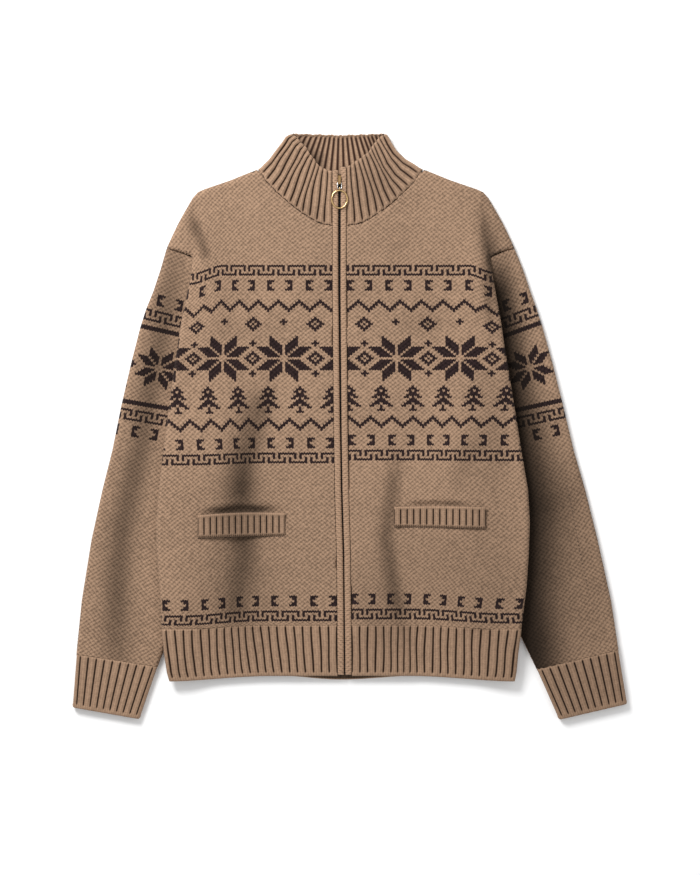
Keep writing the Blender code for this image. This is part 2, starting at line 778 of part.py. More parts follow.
def make_cuff(side):
    wall = Wall()
    top = SLEEVES[side][0]
    end = CUFF_ENDS[side]
    rows = []
    for row, share in enumerate((0, 0.5, 1)):
        outer_edge = (lerp(end.outer, top.outer, share), lerp(end.outer_height, top.outer_height, share))
        inner_edge = (lerp(end.inner, top.inner, share), lerp(end.inner_height, top.inner_height, share))
        width = math.dist(outer_edge, inner_edge)
        marks = [(0, 0.3, True), (EDGE_SHOULDER, 0.6, True)]
        for mark, rise in rib_marks(CUFF_RIBS):
            inset = lerp(EDGE_RADIUS, width - EDGE_RADIUS, mark)
            plain = mark in (0.0, 1.0) or abs(mark - 0.5) < 0.01
            marks.append((inset, rise, plain))
        marks += [(width - EDGE_SHOULDER, 0.6, True), (width, 0.3, True)]
        points = [
            (
                lerp(outer_edge[0], inner_edge[0], inset / width),
                lerp(outer_edge[1], inner_edge[1], inset / width),
            )
            for inset, rise, plain in marks
        ]
        table = [(min(inset, width - inset), rise, plain) for inset, rise, plain in marks]
        line = []
        for column, (outer, inner) in enumerate(tube_ring(points, table, SLEEVE_DEPTH, True)):
            line.append((row, column))
            wall.add(line[-1], place(side, outer), place(side, inner))
        rows.append(line + line[:1])
    wall.grid(rows)
    return wall.build("cuff_" + side, "rib")


CollarColumn = namedtuple("CollarColumn", "base rim roll rise follow")


def collar_columns(side):
    """Columns of one half of the collar, from the zip round to the middle of the back.

    Roll is 1 on the front and -1 on the back, and follow is how much a column bows with the side fold.
    """
    base = [(line.neck_across, line.height) for line in YOKE_ROWS if line.neck_across]
    base.insert(0, (front_start(side, COLLAR_BASE_START), COLLAR_BASE_START))
    base = [moved(point, COLLAR_SEAM_WAY, COLLAR_SEAM_GAP) for point in base] + [COLLAR_BASE_END]
    rim = [(getattr(point, "across_" + side), getattr(point, "height_" + side)) for point in COLLAR_RIM]
    rim[0] = (front_start(side, ZIP_LINE[-1].height), rim[0][1])
    columns = []
    for share, rise in rib_marks(COLLAR_RIBS_FRONT):
        follow = smooth((share - STILL_FRONT) / (1 - STILL_FRONT))
        low = along(base, length_of(base) * share)
        high = along(rim, length_of(rim) * share)
        columns.append(CollarColumn(low, high, 1.0, rise, follow))
    for inset, roll, rim_way in COLLAR_FOLD_COLUMNS:
        low = moved(COLLAR_FOLD_BASE, FOLD_INWARD, inset)
        high = moved(COLLAR_FOLD_TOP, rim_way, inset)
        columns.append(CollarColumn(low, high, roll, 0.5, 1.0))
    back_base = [moved(point, (0, 1), COLLAR_BACK_GAP) for point in reversed(BACK_NECK)]
    back_base.insert(0, moved(COLLAR_FOLD_BASE, BACK_BASE_RUN, EDGE_RADIUS))
    back_rim = [moved(COLLAR_FOLD_TOP, (-1, 0), EDGE_RADIUS), (0, COLLAR_BACK_TOP)]
    for share, rise in rib_marks(COLLAR_RIBS_BACK):
        if share <= 0.5:
            follow = smooth(1 - 2 * share / (1 - 2 * STILL_BACK))
            low = along(back_base, length_of(back_base) * share * 2)
            high = along(back_rim, length_of(back_rim) * share * 2)
            columns.append(CollarColumn(low, high, -1.0, rise, follow))
    return columns


def make_collar():
    wall = Wall()
    radius = BODY_DEPTH / 2
    shares = [row.height for row in COLLAR_FOLD_BOW]
    rows = []
    for row, share in enumerate(shares):
        halves = {}
        for side in SIDES:
            halves[side] = []
            bow = between(COLLAR_FOLD_BOW, side, share)
            for place_on, column in enumerate(collar_columns(side)):
                across = lerp(column.base[0], column.rim[0], share) + bow * column.follow
                plan = (across, lerp(column.base[1], column.rim[1], share))
                outer = Vector((*plan, radius + column.roll * radius))
                inner_plan = plan
                if abs(column.roll) < 1:
                    depth = EDGE_RADIUS - (EDGE_RADIUS - WALL) * math.sqrt(1 - column.roll**2)
                    thick = WALL if column.roll == 0 else depth - EDGE_SHOULDER
                    inner_plan = moved(plan, FOLD_INWARD, thick)
                inner = Vector((*inner_plan, radius + column.roll * (radius - WALL)))
                extra = RIB_WALL + RIB_RISE * column.rise - WALL
                if column.roll > -1:
                    outer = outer.lerp(inner, -extra / WALL)
                else:
                    inner = inner.lerp(outer, -extra / WALL)
                halves[side].append((side, row, place_on))
                wall.add((side, row, place_on), place(side, outer), place(side, inner))
        rows.append(halves["right"] + halves["left"][::-1])
    wall.grid([row[::-1] for row in rows])
    return wall.build("collar", "rib")


def make_band(side):
    """One of the two knit bands that run beside the zip from the hem to the collar's rim."""
    crest = BODY_DEPTH + BAND_RISE
    rings = []
    for point in ZIP_LINE:
        near = point.half_gap
        far = BAND_HALF_GAP + BAND_WIDTH
        section = [(near, point.floor)]
        section += [(near + inset, crest - drop) for inset, drop in BAND_ZIP_EDGE]
        section.append((lerp(near, far, 0.5), crest))
        section += [(far - inset, crest - drop) for inset, drop in BAND_OUTER_EDGE]
        section.append((far, point.floor))
        height = point.height
        if height == ZIP_LINE[-1].height and side == "left":
            height += LEFT_BAND_EXTRA
        rings.append([(point.x + SIDES[side] * x, height, z) for x, z in section])
    return bar("zip_band_" + side, rings, "rib")


def make_zip():
    top = BODY_DEPTH - WALL - SEAM_GAP
    low = top - ZIP_TAPE
    section = [
        (-ZIP_HALF_WIDTH, low),
        (ZIP_HALF_WIDTH, low),
        (ZIP_HALF_WIDTH, top),
        (ZIP_CHAIN_HALF, top),
        (ZIP_CHAIN_HALF, top + ZIP_CHAIN_RISE),
        (-ZIP_CHAIN_HALF, top + ZIP_CHAIN_RISE),
        (-ZIP_CHAIN_HALF, top),
        (-ZIP_HALF_WIDTH, top),
    ]
    rings = []
    for point in ZIP_LINE:
        height = min(max(point.height, ZIP_ENDS[0]), ZIP_ENDS[1])
        rings.append([(point.x + x, height, z) for x, z in section])
    return bar("zip_chain", rings, "zip")


def make_welt(side, panel):
    """A ribbed pocket welt on the front panel, following it, with its upper edge standing off a little."""
    size = WELTS[side]
    tree = BVHTree.FromObject(panel, bpy.context.evaluated_depsgraph_get())
    wall = Wall()
    keys = []
    for row, share in enumerate(WELT_ROWS):
        line = []
        for column, (mark, rise) in enumerate(rib_marks(size.ribs)):
            across = lerp(size.inner, size.outer, mark)
            low = lerp(size.bottom_inner, size.bottom_outer, mark)
            high = lerp(size.top_inner, size.top_outer, mark)
            height = lerp(low, high, share)
            x = SIDES[side] * across
            hit = tree.ray_cast(Vector((x, height, RAY_FROM)) * MM, Vector((0, 0, -1)))[0]
            floor = hit.z / MM + WELT_LIFT + WELT_GAPE * smooth(share)
            crest = floor + (WELT_WALL + WELT_RIB_RISE * rise if row else WELT_HEM)
            line.append((row, column))
            wall.add(line[-1], (x, height, crest), (x, height, floor))
        keys.append(line)
    wall.grid(keys)
    return wall.build("pocket_welt_" + side, "rib")


def cube_at(name, centre, size):
    bpy.ops.mesh.primitive_cube_add(size=1, location=Vector(centre) * MM)
    made = bpy.context.active_object
    made.name = name
    made.scale = Vector(size) * MM
    bpy.ops.object.transform_apply(location=False, rotation=False, scale=True)
    return made


def move_to(collection, made):
    for old in list(made.users_collection):
        old.objects.unlink(made)
    collection.objects.link(made)


def make_cutter(made):
    move_to(CUTTERS, made)
    made.hide_render = True
    made.display_type = "WIRE"
    return made


def add_boolean(made, other, operation):
    cut = made.modifiers.new(operation.lower(), "BOOLEAN")
    cut.operation = operation
    cut.solver = "EXACT"
    cut.object = other


def finish_metal(made, look):
    made.data.materials.clear()
    made.data.materials.append(material(look))
    made.data.shade_smooth()
    made.data.set_sharp_from_angle(angle=math.radians(35))
    move_to(PARTS, made)
    return made


def make_slider():
    x, pivot_y, pivot_z = LINK_PIVOT
    floor = BODY_DEPTH - WALL + SEAM_GAP
    plate_top = ZIP_LINE[-2].floor - SEAM_GAP
    middle = SLIDER_TOP - SLIDER_LENGTH / 2
    plate_size = (SLIDER_WIDTH, SLIDER_LENGTH, plate_top - floor)
    plate = cube_at("zip_slider", (x, middle, (floor + plate_top) / 2), plate_size)
    bevel = plate.modifiers.new("round", "BEVEL")
    bevel.width = SLIDER_BEVEL * MM
    bevel.segments = 1
    crown_low = pivot_y - CROWN_BELOW_PIVOT
    crown_high = SLIDER_TOP - CROWN_INSET
    crown_root = plate_top - CROWN_SINK
    crown = cube_at(
        "slider_crown",
        (x, (crown_low + crown_high) / 2, (crown_root + CROWN_TOP) / 2),
        (CROWN_WIDTH, crown_high - crown_low, CROWN_TOP - crown_root),
    )
    add_boolean(plate, make_cutter(crown), "UNION")
    bpy.ops.mesh.primitive_cylinder_add(
        vertices=12,
        radius=(LINK_WIRE + PIVOT_PLAY) * MM,
        depth=CUTTER_LENGTH * MM,
        location=Vector(LINK_PIVOT) * MM,
        rotation=(0, math.radians(90), 0),
    )
    hole = bpy.context.active_object
    hole.name = "slider_hole"
    add_boolean(plate, make_cutter(hole), "DIFFERENCE")
    return finish_metal(plate, "brass")


def make_wire(name, points, radius, resolution):
    """A closed round wire through points in millimetres, as a mesh."""
    curve = bpy.data.curves.new(name, "CURVE")
    curve.dimensions = "3D"
    curve.bevel_depth = radius * MM
    curve.bevel_resolution = resolution
    line = curve.splines.new("POLY")
    line.points.add(len(points) - 1)
    for knot, point in zip(line.points, points):
        knot.co = (*(Vector(point) * MM), 1)
    line.use_cyclic_u = True
    made = bpy.data.objects.new(name, curve)
    PARTS.objects.link(made)
    bpy.context.view_layer.update()
    mesh = bpy.data.meshes.new_from_object(made.evaluated_get(bpy.context.evaluated_depsgraph_get()))
    bpy.data.objects.remove(made, do_unlink=True)
    shape = bmesh.new()
    shape.from_mesh(mesh)
    bmesh.ops.remove_doubles(shape, verts=shape.verts, dist=0.00001)
    bmesh.ops.recalc_face_normals(shape, faces=shape.faces)
    shape.to_mesh(mesh)
    shape.free()
    wire = bpy.data.objects.new(name, mesh)
    PARTS.objects.link(wire)
    return wire


def ring_pivot():
    """The link's lower bar, where the ring's eye hangs."""
    x, y, z = LINK_PIVOT
    drop = RING_PIVOT_Z - z
    return (x, y - math.sqrt(LINK_LENGTH**2 - drop**2), RING_PIVOT_Z)


def make_link():
    pivot = ring_pivot()
    half = LINK_WIDTH / 2
    corner = LINK_CORNER
    run = [(pivot[axis] - LINK_PIVOT[axis]) / LINK_LENGTH for axis in range(3)]
    plan = [
        (-half + corner, 0),
        (half - corner, 0),
        (half, corner),
        (half, LINK_LENGTH - corner),
        (half - corner, LINK_LENGTH),
        (-half + corner, LINK_LENGTH),
        (-half, LINK_LENGTH - corner),
        (-half, corner),
    ]
    points = [(x, down * run[1], down * run[2]) for x, down in plan]
    link = make_wire("pull_link", points, LINK_WIRE, 2)
    link.location = Vector(LINK_PIVOT) * MM
    return finish_metal(link, "nickel")


def make_ring():
    pivot = ring_pivot()
    top = EYE_SINK - EYE_RADIUS - EYE_WIRE - RING_WIRE
    points = []
    for step in range(RING_STEPS):
        turn = 2 * math.pi * step / RING_STEPS
        x = (RING_WIDTH / 2 - RING_WIRE) * math.sin(turn)
        y = top - (RING_HEIGHT / 2 - RING_WIRE) * (1 - math.cos(turn))
        points.append((x, y, 0))
    ring = make_wire("pull_ring", points, RING_WIRE, 2)
    ring.location = Vector(pivot) * MM
    bpy.ops.mesh.primitive_torus_add(
        major_radius=EYE_RADIUS * MM,
        minor_radius=EYE_WIRE * MM,
        major_segments=14,
        minor_segments=8,
        location=Vector(pivot) * MM,
        rotation=(0, math.radians(90), 0),
    )
    eye = bpy.context.active_object
    eye.name = "ring_eye"
    add_boolean(ring, make_cutter(eye), "UNION")
    return finish_metal(ring, "brass")


def centre_on_origin():
    """Hangs every piece on one empty that puts the middle of the whole outline over the origin."""
    bpy.context.view_layer.update()
    corners = [
        made.matrix_world @ Vector(corner) for made in PARTS.objects for corner in made.bound_box
    ]
    low = Vector([min(corner[axis] for corner in corners) for axis in range(3)])
    high = Vector([max(corner[axis] for corner in corners) for axis in range(3)])
    holder = bpy.data.objects.new("cardigan", None)
    PARTS.objects.link(holder)
    for made in list(PARTS.objects) + list(CUTTERS.objects):
        if made != holder:
            made.parent = holder
    holder.location = (-(low.x + high.x) / 2, -(low.y + high.y) / 2, -low.z)
    bpy.context.view_layer.update()


clear_scene()
PARTS = bpy.data.collections.new("zip_cardigan")
CUTTERS = bpy.data.collections.new("cutters")
bpy.context.scene.collection.children.link(PARTS)
bpy.context.scene.collection.children.link(CUTTERS)
make_back()
make_back_hem()
for side_name in SIDES:
    front = make_front(side_name)
    make_front_hem(side_name)
    make_sleeve(side_name)
    make_cuff(side_name)
    make_band(side_name)
    make_welt(side_name, front)
make_collar()
make_zip()
make_slider()
make_link()
make_ring()
centre_on_origin()
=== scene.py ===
# Looks of the zip cardigan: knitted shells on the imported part, with its ribs, bands and zip.
# Lengths are millimetres in the garment's frame: x across from the zip's top, y up from the hem, z off
# the table.
import math

import bmesh
import bpy
import numpy as np
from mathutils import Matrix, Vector
from mathutils.bvhtree import BVHTree


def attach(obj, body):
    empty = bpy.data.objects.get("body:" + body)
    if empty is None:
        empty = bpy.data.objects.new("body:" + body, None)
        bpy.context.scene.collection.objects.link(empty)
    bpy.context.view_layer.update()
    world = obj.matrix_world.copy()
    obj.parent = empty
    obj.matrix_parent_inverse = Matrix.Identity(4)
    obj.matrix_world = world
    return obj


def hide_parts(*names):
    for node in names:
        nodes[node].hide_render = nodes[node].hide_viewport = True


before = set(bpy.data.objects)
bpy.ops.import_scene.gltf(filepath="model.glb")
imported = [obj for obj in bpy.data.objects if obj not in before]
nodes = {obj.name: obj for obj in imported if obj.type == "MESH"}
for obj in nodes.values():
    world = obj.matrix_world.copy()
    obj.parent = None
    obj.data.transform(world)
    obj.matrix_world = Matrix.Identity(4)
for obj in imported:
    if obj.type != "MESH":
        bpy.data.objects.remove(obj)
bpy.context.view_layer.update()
print("frame loaded:", len(nodes), "nodes")

garment = {
    "offset": np.array([-12.6, -339.75, 0.0]),  # from the garment's frame to the part's
    "stitchWide": 3.6,
    "stitchHigh": 2.9,
    "sleeveStitchHigh": 3.05,
    "sides": {"right": -1, "left": 1},
    "edgeRadius": 6.0,
    "bodyDepth": 12.3,
    "hemTop": 71.2,
    "clothThick": 2.4,  # of the ribbed shells, whose edges show
    "grooveThins": 0.08,  # share of that thickness lost for each tenth of a groove's depth
    "rayStart": 100.0,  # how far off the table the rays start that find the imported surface
    "weldWithin": 0.05,
    "leastFace": 1e-10,  # in square metres
}
rng = np.random.default_rng(7)


def smoothStep(t):
    t = np.clip(t, 0.0, 1.0)
    return t * t * (3 - 2 * t)


def bell(x, y, centre, size):
    # A soft hump of height 1
    return np.exp(-(((x - centre[0]) / size[0]) ** 2) - ((y - centre[1]) / size[1]) ** 2)


def table(rows, value):
    # Straight between the rows of a table whose first column rises
    rows = np.array(rows, float)
    return np.interp(value, rows[:, 0], rows[:, 1])


def lengthsAlong(points):
    # How far along a line each of its points lies
    return np.concatenate([[0], np.cumsum(np.linalg.norm(np.diff(points, axis=0), axis=1))])


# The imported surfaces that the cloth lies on


def cadTree(*names):
    points, faces = [], []
    for name in names:
        mesh = bpy.data.objects[name].data
        start = len(points)
        points += [tuple(v.co) for v in mesh.vertices]
        faces += [tuple(start + k for k in p.vertices) for p in mesh.polygons]
    return BVHTree.FromPolygons(points, faces)


def dropOn(tree, plan, fromBelow=False):
    # Height of the tree's surface over each plan point, in mm, and nan where there is none
    flat = plan.reshape(-1, 2)
    way = 1.0 if fromBelow else -1.0
    start = -way * garment["rayStart"]
    found = np.full(len(flat), np.nan)
    off = garment["offset"]
    down = Vector((0, 0, way))
    for place, (x, y) in enumerate(flat):
        hit = tree.ray_cast(Vector(((x + off[0]) / 1000, (y + off[1]) / 1000, start / 1000)), down)[0]
        if hit is not None:
            found[place] = hit.z * 1000
    return found.reshape(plan.shape[:-1])


def nearestOn(tree, points):
    off = garment["offset"]
    found = np.empty_like(points)
    for place, p in enumerate(points):
        near = tree.find_nearest(Vector((p + off) / 1000))[0]
        found[place] = np.array(near) * 1000 - off
    return found


def blurred(field, mask, wide, high):
    # Blur of a field over a mask, in cells
    total = np.where(mask, field, 0.0)
    weight = mask.astype(float)
    for axis, size in ((0, high), (1, wide)):
        reach = max(1, int(size * 2))
        kernel = np.exp(-0.5 * (np.arange(-reach, reach + 1) / size) ** 2)
        kernel /= kernel.sum()
        total = np.apply_along_axis(np.convolve, axis, total, kernel, "same")
        weight = np.apply_along_axis(np.convolve, axis, weight, kernel, "same")
    return np.where(weight > 1e-6, total / np.maximum(weight, 1e-6), field)


def insideBy(mask, most):
    # How many cells each point is from the mask's edge, up to a limit
    depth = np.zeros(mask.shape, int)
    left = mask.copy()
    for _ in range(most):
        depth += left
        small = left.copy()
        small[1:] &= left[:-1]
        small[:-1] &= left[1:]
        small[:, 1:] &= left[:, :-1]
        small[:, :-1] &= left[:, 1:]
        left = small
    return depth


# Meshes from arrays of points


def setValues(mesh, name, values, domain="POINT"):
    # Numbers on a mesh's points or faces that its material reads by name
    attribute = mesh.attributes.new(name, "FLOAT", domain)
    attribute.data.foreach_set("value", np.array(values).ravel().astype(np.float32))


def meshFrom(name, points, quads, matName, uv=None, yarn=None, weld=None, groove=None, shade=None):
    # points are mm in the garment's frame; yarn is per quad, 1 for the dark one; weld marks points that join
    mesh = bpy.data.meshes.new(name)
    co = (points + garment["offset"]) / 1000
    mesh.vertices.add(len(co))
    mesh.vertices.foreach_set("co", co.astype(np.float32).ravel())
    mesh.loops.add(quads.size)
    mesh.loops.foreach_set("vertex_index", quads.astype(np.int32).ravel())
    mesh.polygons.add(len(quads))
    mesh.polygons.foreach_set("loop_start", np.arange(0, quads.size, 4, dtype=np.int32))
    mesh.update(calc_edges=True)
    if uv is not None:
        layer = mesh.uv_layers.new(name="stitches")
        layer.data.foreach_set("uv", uv[quads.ravel()].astype(np.float32).ravel())
    # groove is each point's depth in a groove; shade is each point's painted shade
    for key, values in (("yarn", yarn), ("groove", groove), ("shade", shade)):
        if values is not None:
            setValues(mesh, key, values, "FACE" if key == "yarn" else "POINT")
    mesh.validate()
    shape = bmesh.new()
    shape.from_mesh(mesh)
    if weld is not None:
        joined = [v for v, joins in zip(shape.verts, weld) if joins]
        bmesh.ops.remove_doubles(shape, verts=joined, dist=garment["weldWithin"] / 1000)
    loose = [v for v in shape.verts if not v.link_faces]
    bmesh.ops.delete(shape, geom=loose, context="VERTS")
    thin = [f for f in shape.faces if f.calc_area() < garment["leastFace"]]
    bmesh.ops.delete(shape, geom=thin, context="FACES")
    shape.to_mesh(mesh)
    shape.free()
    mesh.shade_smooth()
    made = bpy.data.objects.new(name, mesh)
    bpy.context.scene.collection.objects.link(made)
    mesh.materials.append(bpy.data.materials[matName])
    return made


def mend(made, fill=False, outward=False):
    # Closes a mesh's open ends, and turns its faces outwards
    shape = bmesh.new()
    shape.from_mesh(made.data)
    if fill:
        bmesh.ops.holes_fill(shape, edges=[e for e in shape.edges if e.is_boundary], sides=0)
    if outward:
        bmesh.ops.recalc_face_normals(shape, faces=shape.faces)
    shape.to_mesh(made.data)
    shape.free()


def gridQuads(rows, columns, keep=None, closed=False):
    index = np.arange(rows * columns).reshape(rows, columns)
    if closed:
        index = np.concatenate([index, index[:, :1]], axis=1)
    quads = np.stack([index[:-1, :-1], index[:-1, 1:], index[1:, 1:], index[1:, :-1]], axis=-1).reshape(-1, 4)
    return quads if keep is None else quads[keep]


def turnedOut(quads, points, upward, lid=None):
    # Turns all the quads over if most of them, or of those in lid, face the wrong way
    a, b, c, d = (points[(quads if lid is None else lid)[:, k]] for k in range(4))
    normal = np.cross(c - a, d - b)[:, 2]
    if lid is not None:
        wrong = normal.mean() < 0
    else:
        wrong = (normal < 0 if upward else normal > 0).mean() > 0.5
    return quads[:, ::-1].copy() if wrong else quads


def gridMesh(name, lines, uvs, matName, upward=True, **values):
    # A sheet from lines of points, each with its place in stitches
    points = np.array(lines)
    flat = points.reshape(-1, 3)
    quads = turnedOut(gridQuads(*points.shape[:2]), flat, upward)
    return meshFrom(name, flat, quads, matName, np.array(uvs).reshape(-1, 2), **values)


def solidify(made, thick, inside=None):
    # Gives a ribbed sheet its thickness, thin in its grooves so that they show on both faces
    modifier = made.modifiers.new("cloth", "SOLIDIFY")
    modifier.thickness = thick / 1000
    modifier.offset = -1
    modifier.use_even_offset = False
    modifier.use_rim = True
    if inside:
        made.data.materials.append(bpy.data.materials[inside])
        modifier.material_offset = 1
    values = np.empty(len(made.data.vertices), np.float32)
    made.data.attributes["groove"].data.foreach_get("value", values)
    steps = np.round(values * 10).astype(int)
    group = made.vertex_groups.new(name="thick")
    for step in np.unique(steps):
        share = 1 - garment["grooveThins"] * float(step)
        group.add([int(k) for k in np.flatnonzero(steps == step)], share, "REPLACE")
    modifier.vertex_group = "thick"


def dress(made, node, body="garment"):
    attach(made, body)
    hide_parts(*([node] if isinstance(node, str) else node))


# Charts, each row from the top down

charts = {
    "fret": ["#######.", "#.....#.", "#.#.#.#.", "..#.#...", "###.####"],
    "hook": ["###", "##.", "#..", "##.", "###"],
    "tree": [
        "....#....",
        "...###...",
        "..##.##..",
        "...###...",
        "..#####..",
        ".##.#.##.",
        "...###...",
        "..#####..",
        ".###.###.",
        "##..#..##",
        "....#....",
        "...###...",
    ],
    "diamond": ["...#...", "..###..", ".##.##.", "##.#.##", ".##.##.", "..###..", "...#..."],
    "spark": [".#.", "###", ".#."],
}


def filled(name, mirror=False):
    rows = np.array([[c == "#" for c in row] for row in charts[name]])[::-1]
    return rows[:, ::-1] if mirror else rows


def starChart(k):
    # A traditional eight-pointed star of eight slanted petals
    span = np.arange(-2 * k - 1, 2 * k + 2)
    x, y = np.meshgrid(span, span)
    a, b = np.maximum(abs(x), abs(y)), np.minimum(abs(x), abs(y))
    return (b >= 1) & (b <= k) & (a > b) & (a <= b + k)


def put(chart, motif, row, column):
    # Lays a motif with its lowest left stitch there, cutting off what falls outside
    high, wide = motif.shape
    for r in range(high):
        for c in range(wide):
            rr, cc = row + r, column + c
            if 0 <= rr < chart.shape[0] and 0 <= cc < chart.shape[1] and motif[r, c]:
                chart[rr, cc] = True


def putEvery(chart, motif, row, start, every):
    # Lays a motif again and again, from a first column on
    for column in range(start, chart.shape[1] + every, every):
        put(chart, motif, row, column)


def putFret(chart, row, shift):
    motif = filled("fret")
    high, wide = motif.shape
    chart[row : row + high] |= motif[:, (np.arange(chart.shape[1]) - shift) % wide]


def putHooks(chart, row, shift):
    # Pairs of hooks that face each other
    start = shift - 2 * layout["hookPair"]
    putEvery(chart, filled("hook"), row, start, layout["hookPair"])
    putEvery(chart, filled("hook", True), row, start + layout["hookGap"], layout["hookPair"])


def zigzag(chart, row, shift):
    for column in range(chart.shape[1]):
        step = (column + shift) % layout["zigzagWide"]
        rise = min(step, layout["zigzagWide"] - step)
        chart[row + rise : row + rise + 2, column] = True


# Where the borders and motifs stand, in rows up from the hem or cuff and in stitches across
layout = {
    "hookPair": 15,
    "hookGap": 7,
    "zigzagWide": 8,
    "bodyBorders": [(163, 156, 2), (77, 84, 6), (3, 10, 6)],  # row of the meander, row of the hooks, shift
    "zigzags": [(92, 0), (146, 4)],
    "trees": {"row": 100, "start": -28, "every": 12},
    "motifsEvery": 24,
    "chest": [  # motif, row and column, between the conifers
        ("star", 113, -29),
        ("diamond", 121, -9),
        ("spark", 116, -7),
        ("spark", 130, -7),
        ("spark", 140, -19),
        ("diamond", 137, -9),
    ],
    "chestStar": 5,
    "sleeveBorders": [(146, 150, 157), (113, 106, 99)],  # rows of the bar, the meander and the hooks
    "sleeveMiddle": 32,
    "arm": [("star", 121, -52), ("diamond", 127, -34), ("spark", 119, -32), ("spark", 139, -32)],
    "armStar": 4,
}


def putMotifs(chart, motifs, star, first):
    for name, row, column in motifs:
        motif = starChart(star) if name == "star" else filled(name)
        putEvery(chart, motif, row, first + column, layout["motifsEvery"])


def chestChart(chart, first):
    # The broad band across the chest: stars between conifers, diamonds and zigzags
    for row, shift in layout["zigzags"]:
        zigzag(chart, row, first + shift)
    trees = layout["trees"]
    putEvery(chart, filled("tree"), trees["row"], first + trees["start"], trees["every"])
    putMotifs(chart, layout["chest"], layout["chestStar"], first)


def frontChart(rows, columns, first):
    chart = np.zeros((rows, columns), bool)
    for fret, hooks, shift in layout["bodyBorders"]:
        putFret(chart, fret, shift)
        putHooks(chart, hooks, 0)
    if first is not None:
        chestChart(chart, first)
    return chart


def sleeveChart(rows, columns, outerHook):
    # Columns count inwards from the sleeve's outer side
    chart = np.zeros((rows, columns), bool)
    shift = layout["sleeveMiddle"] - outerHook
    for bar, fret, hooks in layout["sleeveBorders"]:
        chart[bar : bar + 2] = True
        putFret(chart, fret, shift)
        putHooks(chart, hooks, shift)
    putMotifs(chart, layout["arm"], layout["armStar"], shift)
    return chart


print("charts ready")

# Materials
yarns = {
    "tan": (0.262, 0.168, 0.110),
    "dark": (0.022, 0.0125, 0.0125),
    "rib": (0.272, 0.174, 0.114),
    "thread": (0.035, 0.022, 0.018),
    "tapeLow": (0.008, 0.007, 0.007),
    "tapeHigh": (0.022, 0.018, 0.017),
}
# Scale to a metre, detail and roughness of each noise in the knit
grain = {
    "driftAcross": (70.0, 2.0, 0.5),
    "driftUp": (90.0, 2.0, 0.5),
    "fibre": (900.0, 2.0, 0.7),
    "tone": (12.0, 3.0, 0.55),
    "fleck": (300.0, 2.0, 0.6),
}
woolFinish = {
    "Roughness": 0.95,
    "Specular IOR Level": 0.08,
    "Sheen Roughness": 0.5,
    "Sheen Tint": (0.95, 0.82, 0.7, 1),
}


def toned(colour, share):
    return tuple(c * share for c in colour)


class Nodes:
    # Short hand for a material's nodes
    def __init__(self, name):
        self.material = bpy.data.materials.new(name)
        self.material.use_nodes = True
        self.tree = self.material.node_tree
        self.shader = self.tree.nodes["Principled BSDF"]

    def add(self, kind, **settings):
        node = self.tree.nodes.new(kind)
        for key, value in settings.items():
            setattr(node, key, value)
        return node

    def link(self, source, target):
        self.tree.links.new(source, target)

    def feed(self, socket, value):
        if isinstance(value, bpy.types.NodeSocket):
            self.link(value, socket)
        elif value is not None:
            socket.default_value = value

    def sum(self, operation, a, b=None, clamp=False):
        node = self.add("ShaderNodeMath", operation=operation, use_clamp=clamp)
        for socket, value in zip(node.inputs, (a, b)):
            self.feed(socket, value)
        return node.outputs[0]

    def shared(self, value, share, middle=0.0):
        # A share of a value's distance from its middle
        return self.sum("MULTIPLY", self.sum("SUBTRACT", value, middle) if middle else value, share)

    def wave(self, kind, value, turns=1.0):
        return self.sum(kind, self.sum("MULTIPLY", value, turns * math.pi))

    def read(self, name):
        return self.add("ShaderNodeAttribute", attribute_name=name).outputs["Fac"]

    def place(self):
        return self.add("ShaderNodeTexCoord").outputs["Object"]

    def mix(self, share, a, b):
        node = self.add("ShaderNodeMix", data_type="RGBA")
        self.feed(node.inputs[0], share)
        for socket, value in zip(node.inputs[6:8], (a, b)):
            self.feed(socket, (*value, 1) if isinstance(value, tuple) and len(value) == 3 else value)
        return node.outputs[2]

    def noise(self, vector, scale, detail=3.0, rough=0.6):
        node = self.add("ShaderNodeTexNoise")
        self.link(vector, node.inputs["Vector"])
        node.inputs["Scale"].default_value = scale
        node.inputs["Detail"].default_value = detail
        node.inputs["Roughness"].default_value = rough
        return node.outputs["Fac"]

    def ramp(self, value, low, high, out=(0.0, 1.0)):
        node = self.add("ShaderNodeMapRange", interpolation_type="SMOOTHSTEP")
        self.link(value, node.inputs[0])
        for socket, number in zip(node.inputs[1:5], (low, high, *out)):
            socket.default_value = number
        return node.outputs[0]

    def bump(self, height, distance, strength=1.0):
        # Feeds the shader's normal, with the distance in metres
        node = self.add("ShaderNodeBump")
        node.inputs["Strength"].default_value = strength
        node.inputs["Distance"].default_value = distance
        self.link(height, node.inputs["Height"])
        self.link(node.outputs[0], self.shader.inputs["Normal"])

    def finish(self, **values):
        # Sets or links the shader's own values
        for key, value in values.items():
            self.feed(self.shader.inputs[key], value)


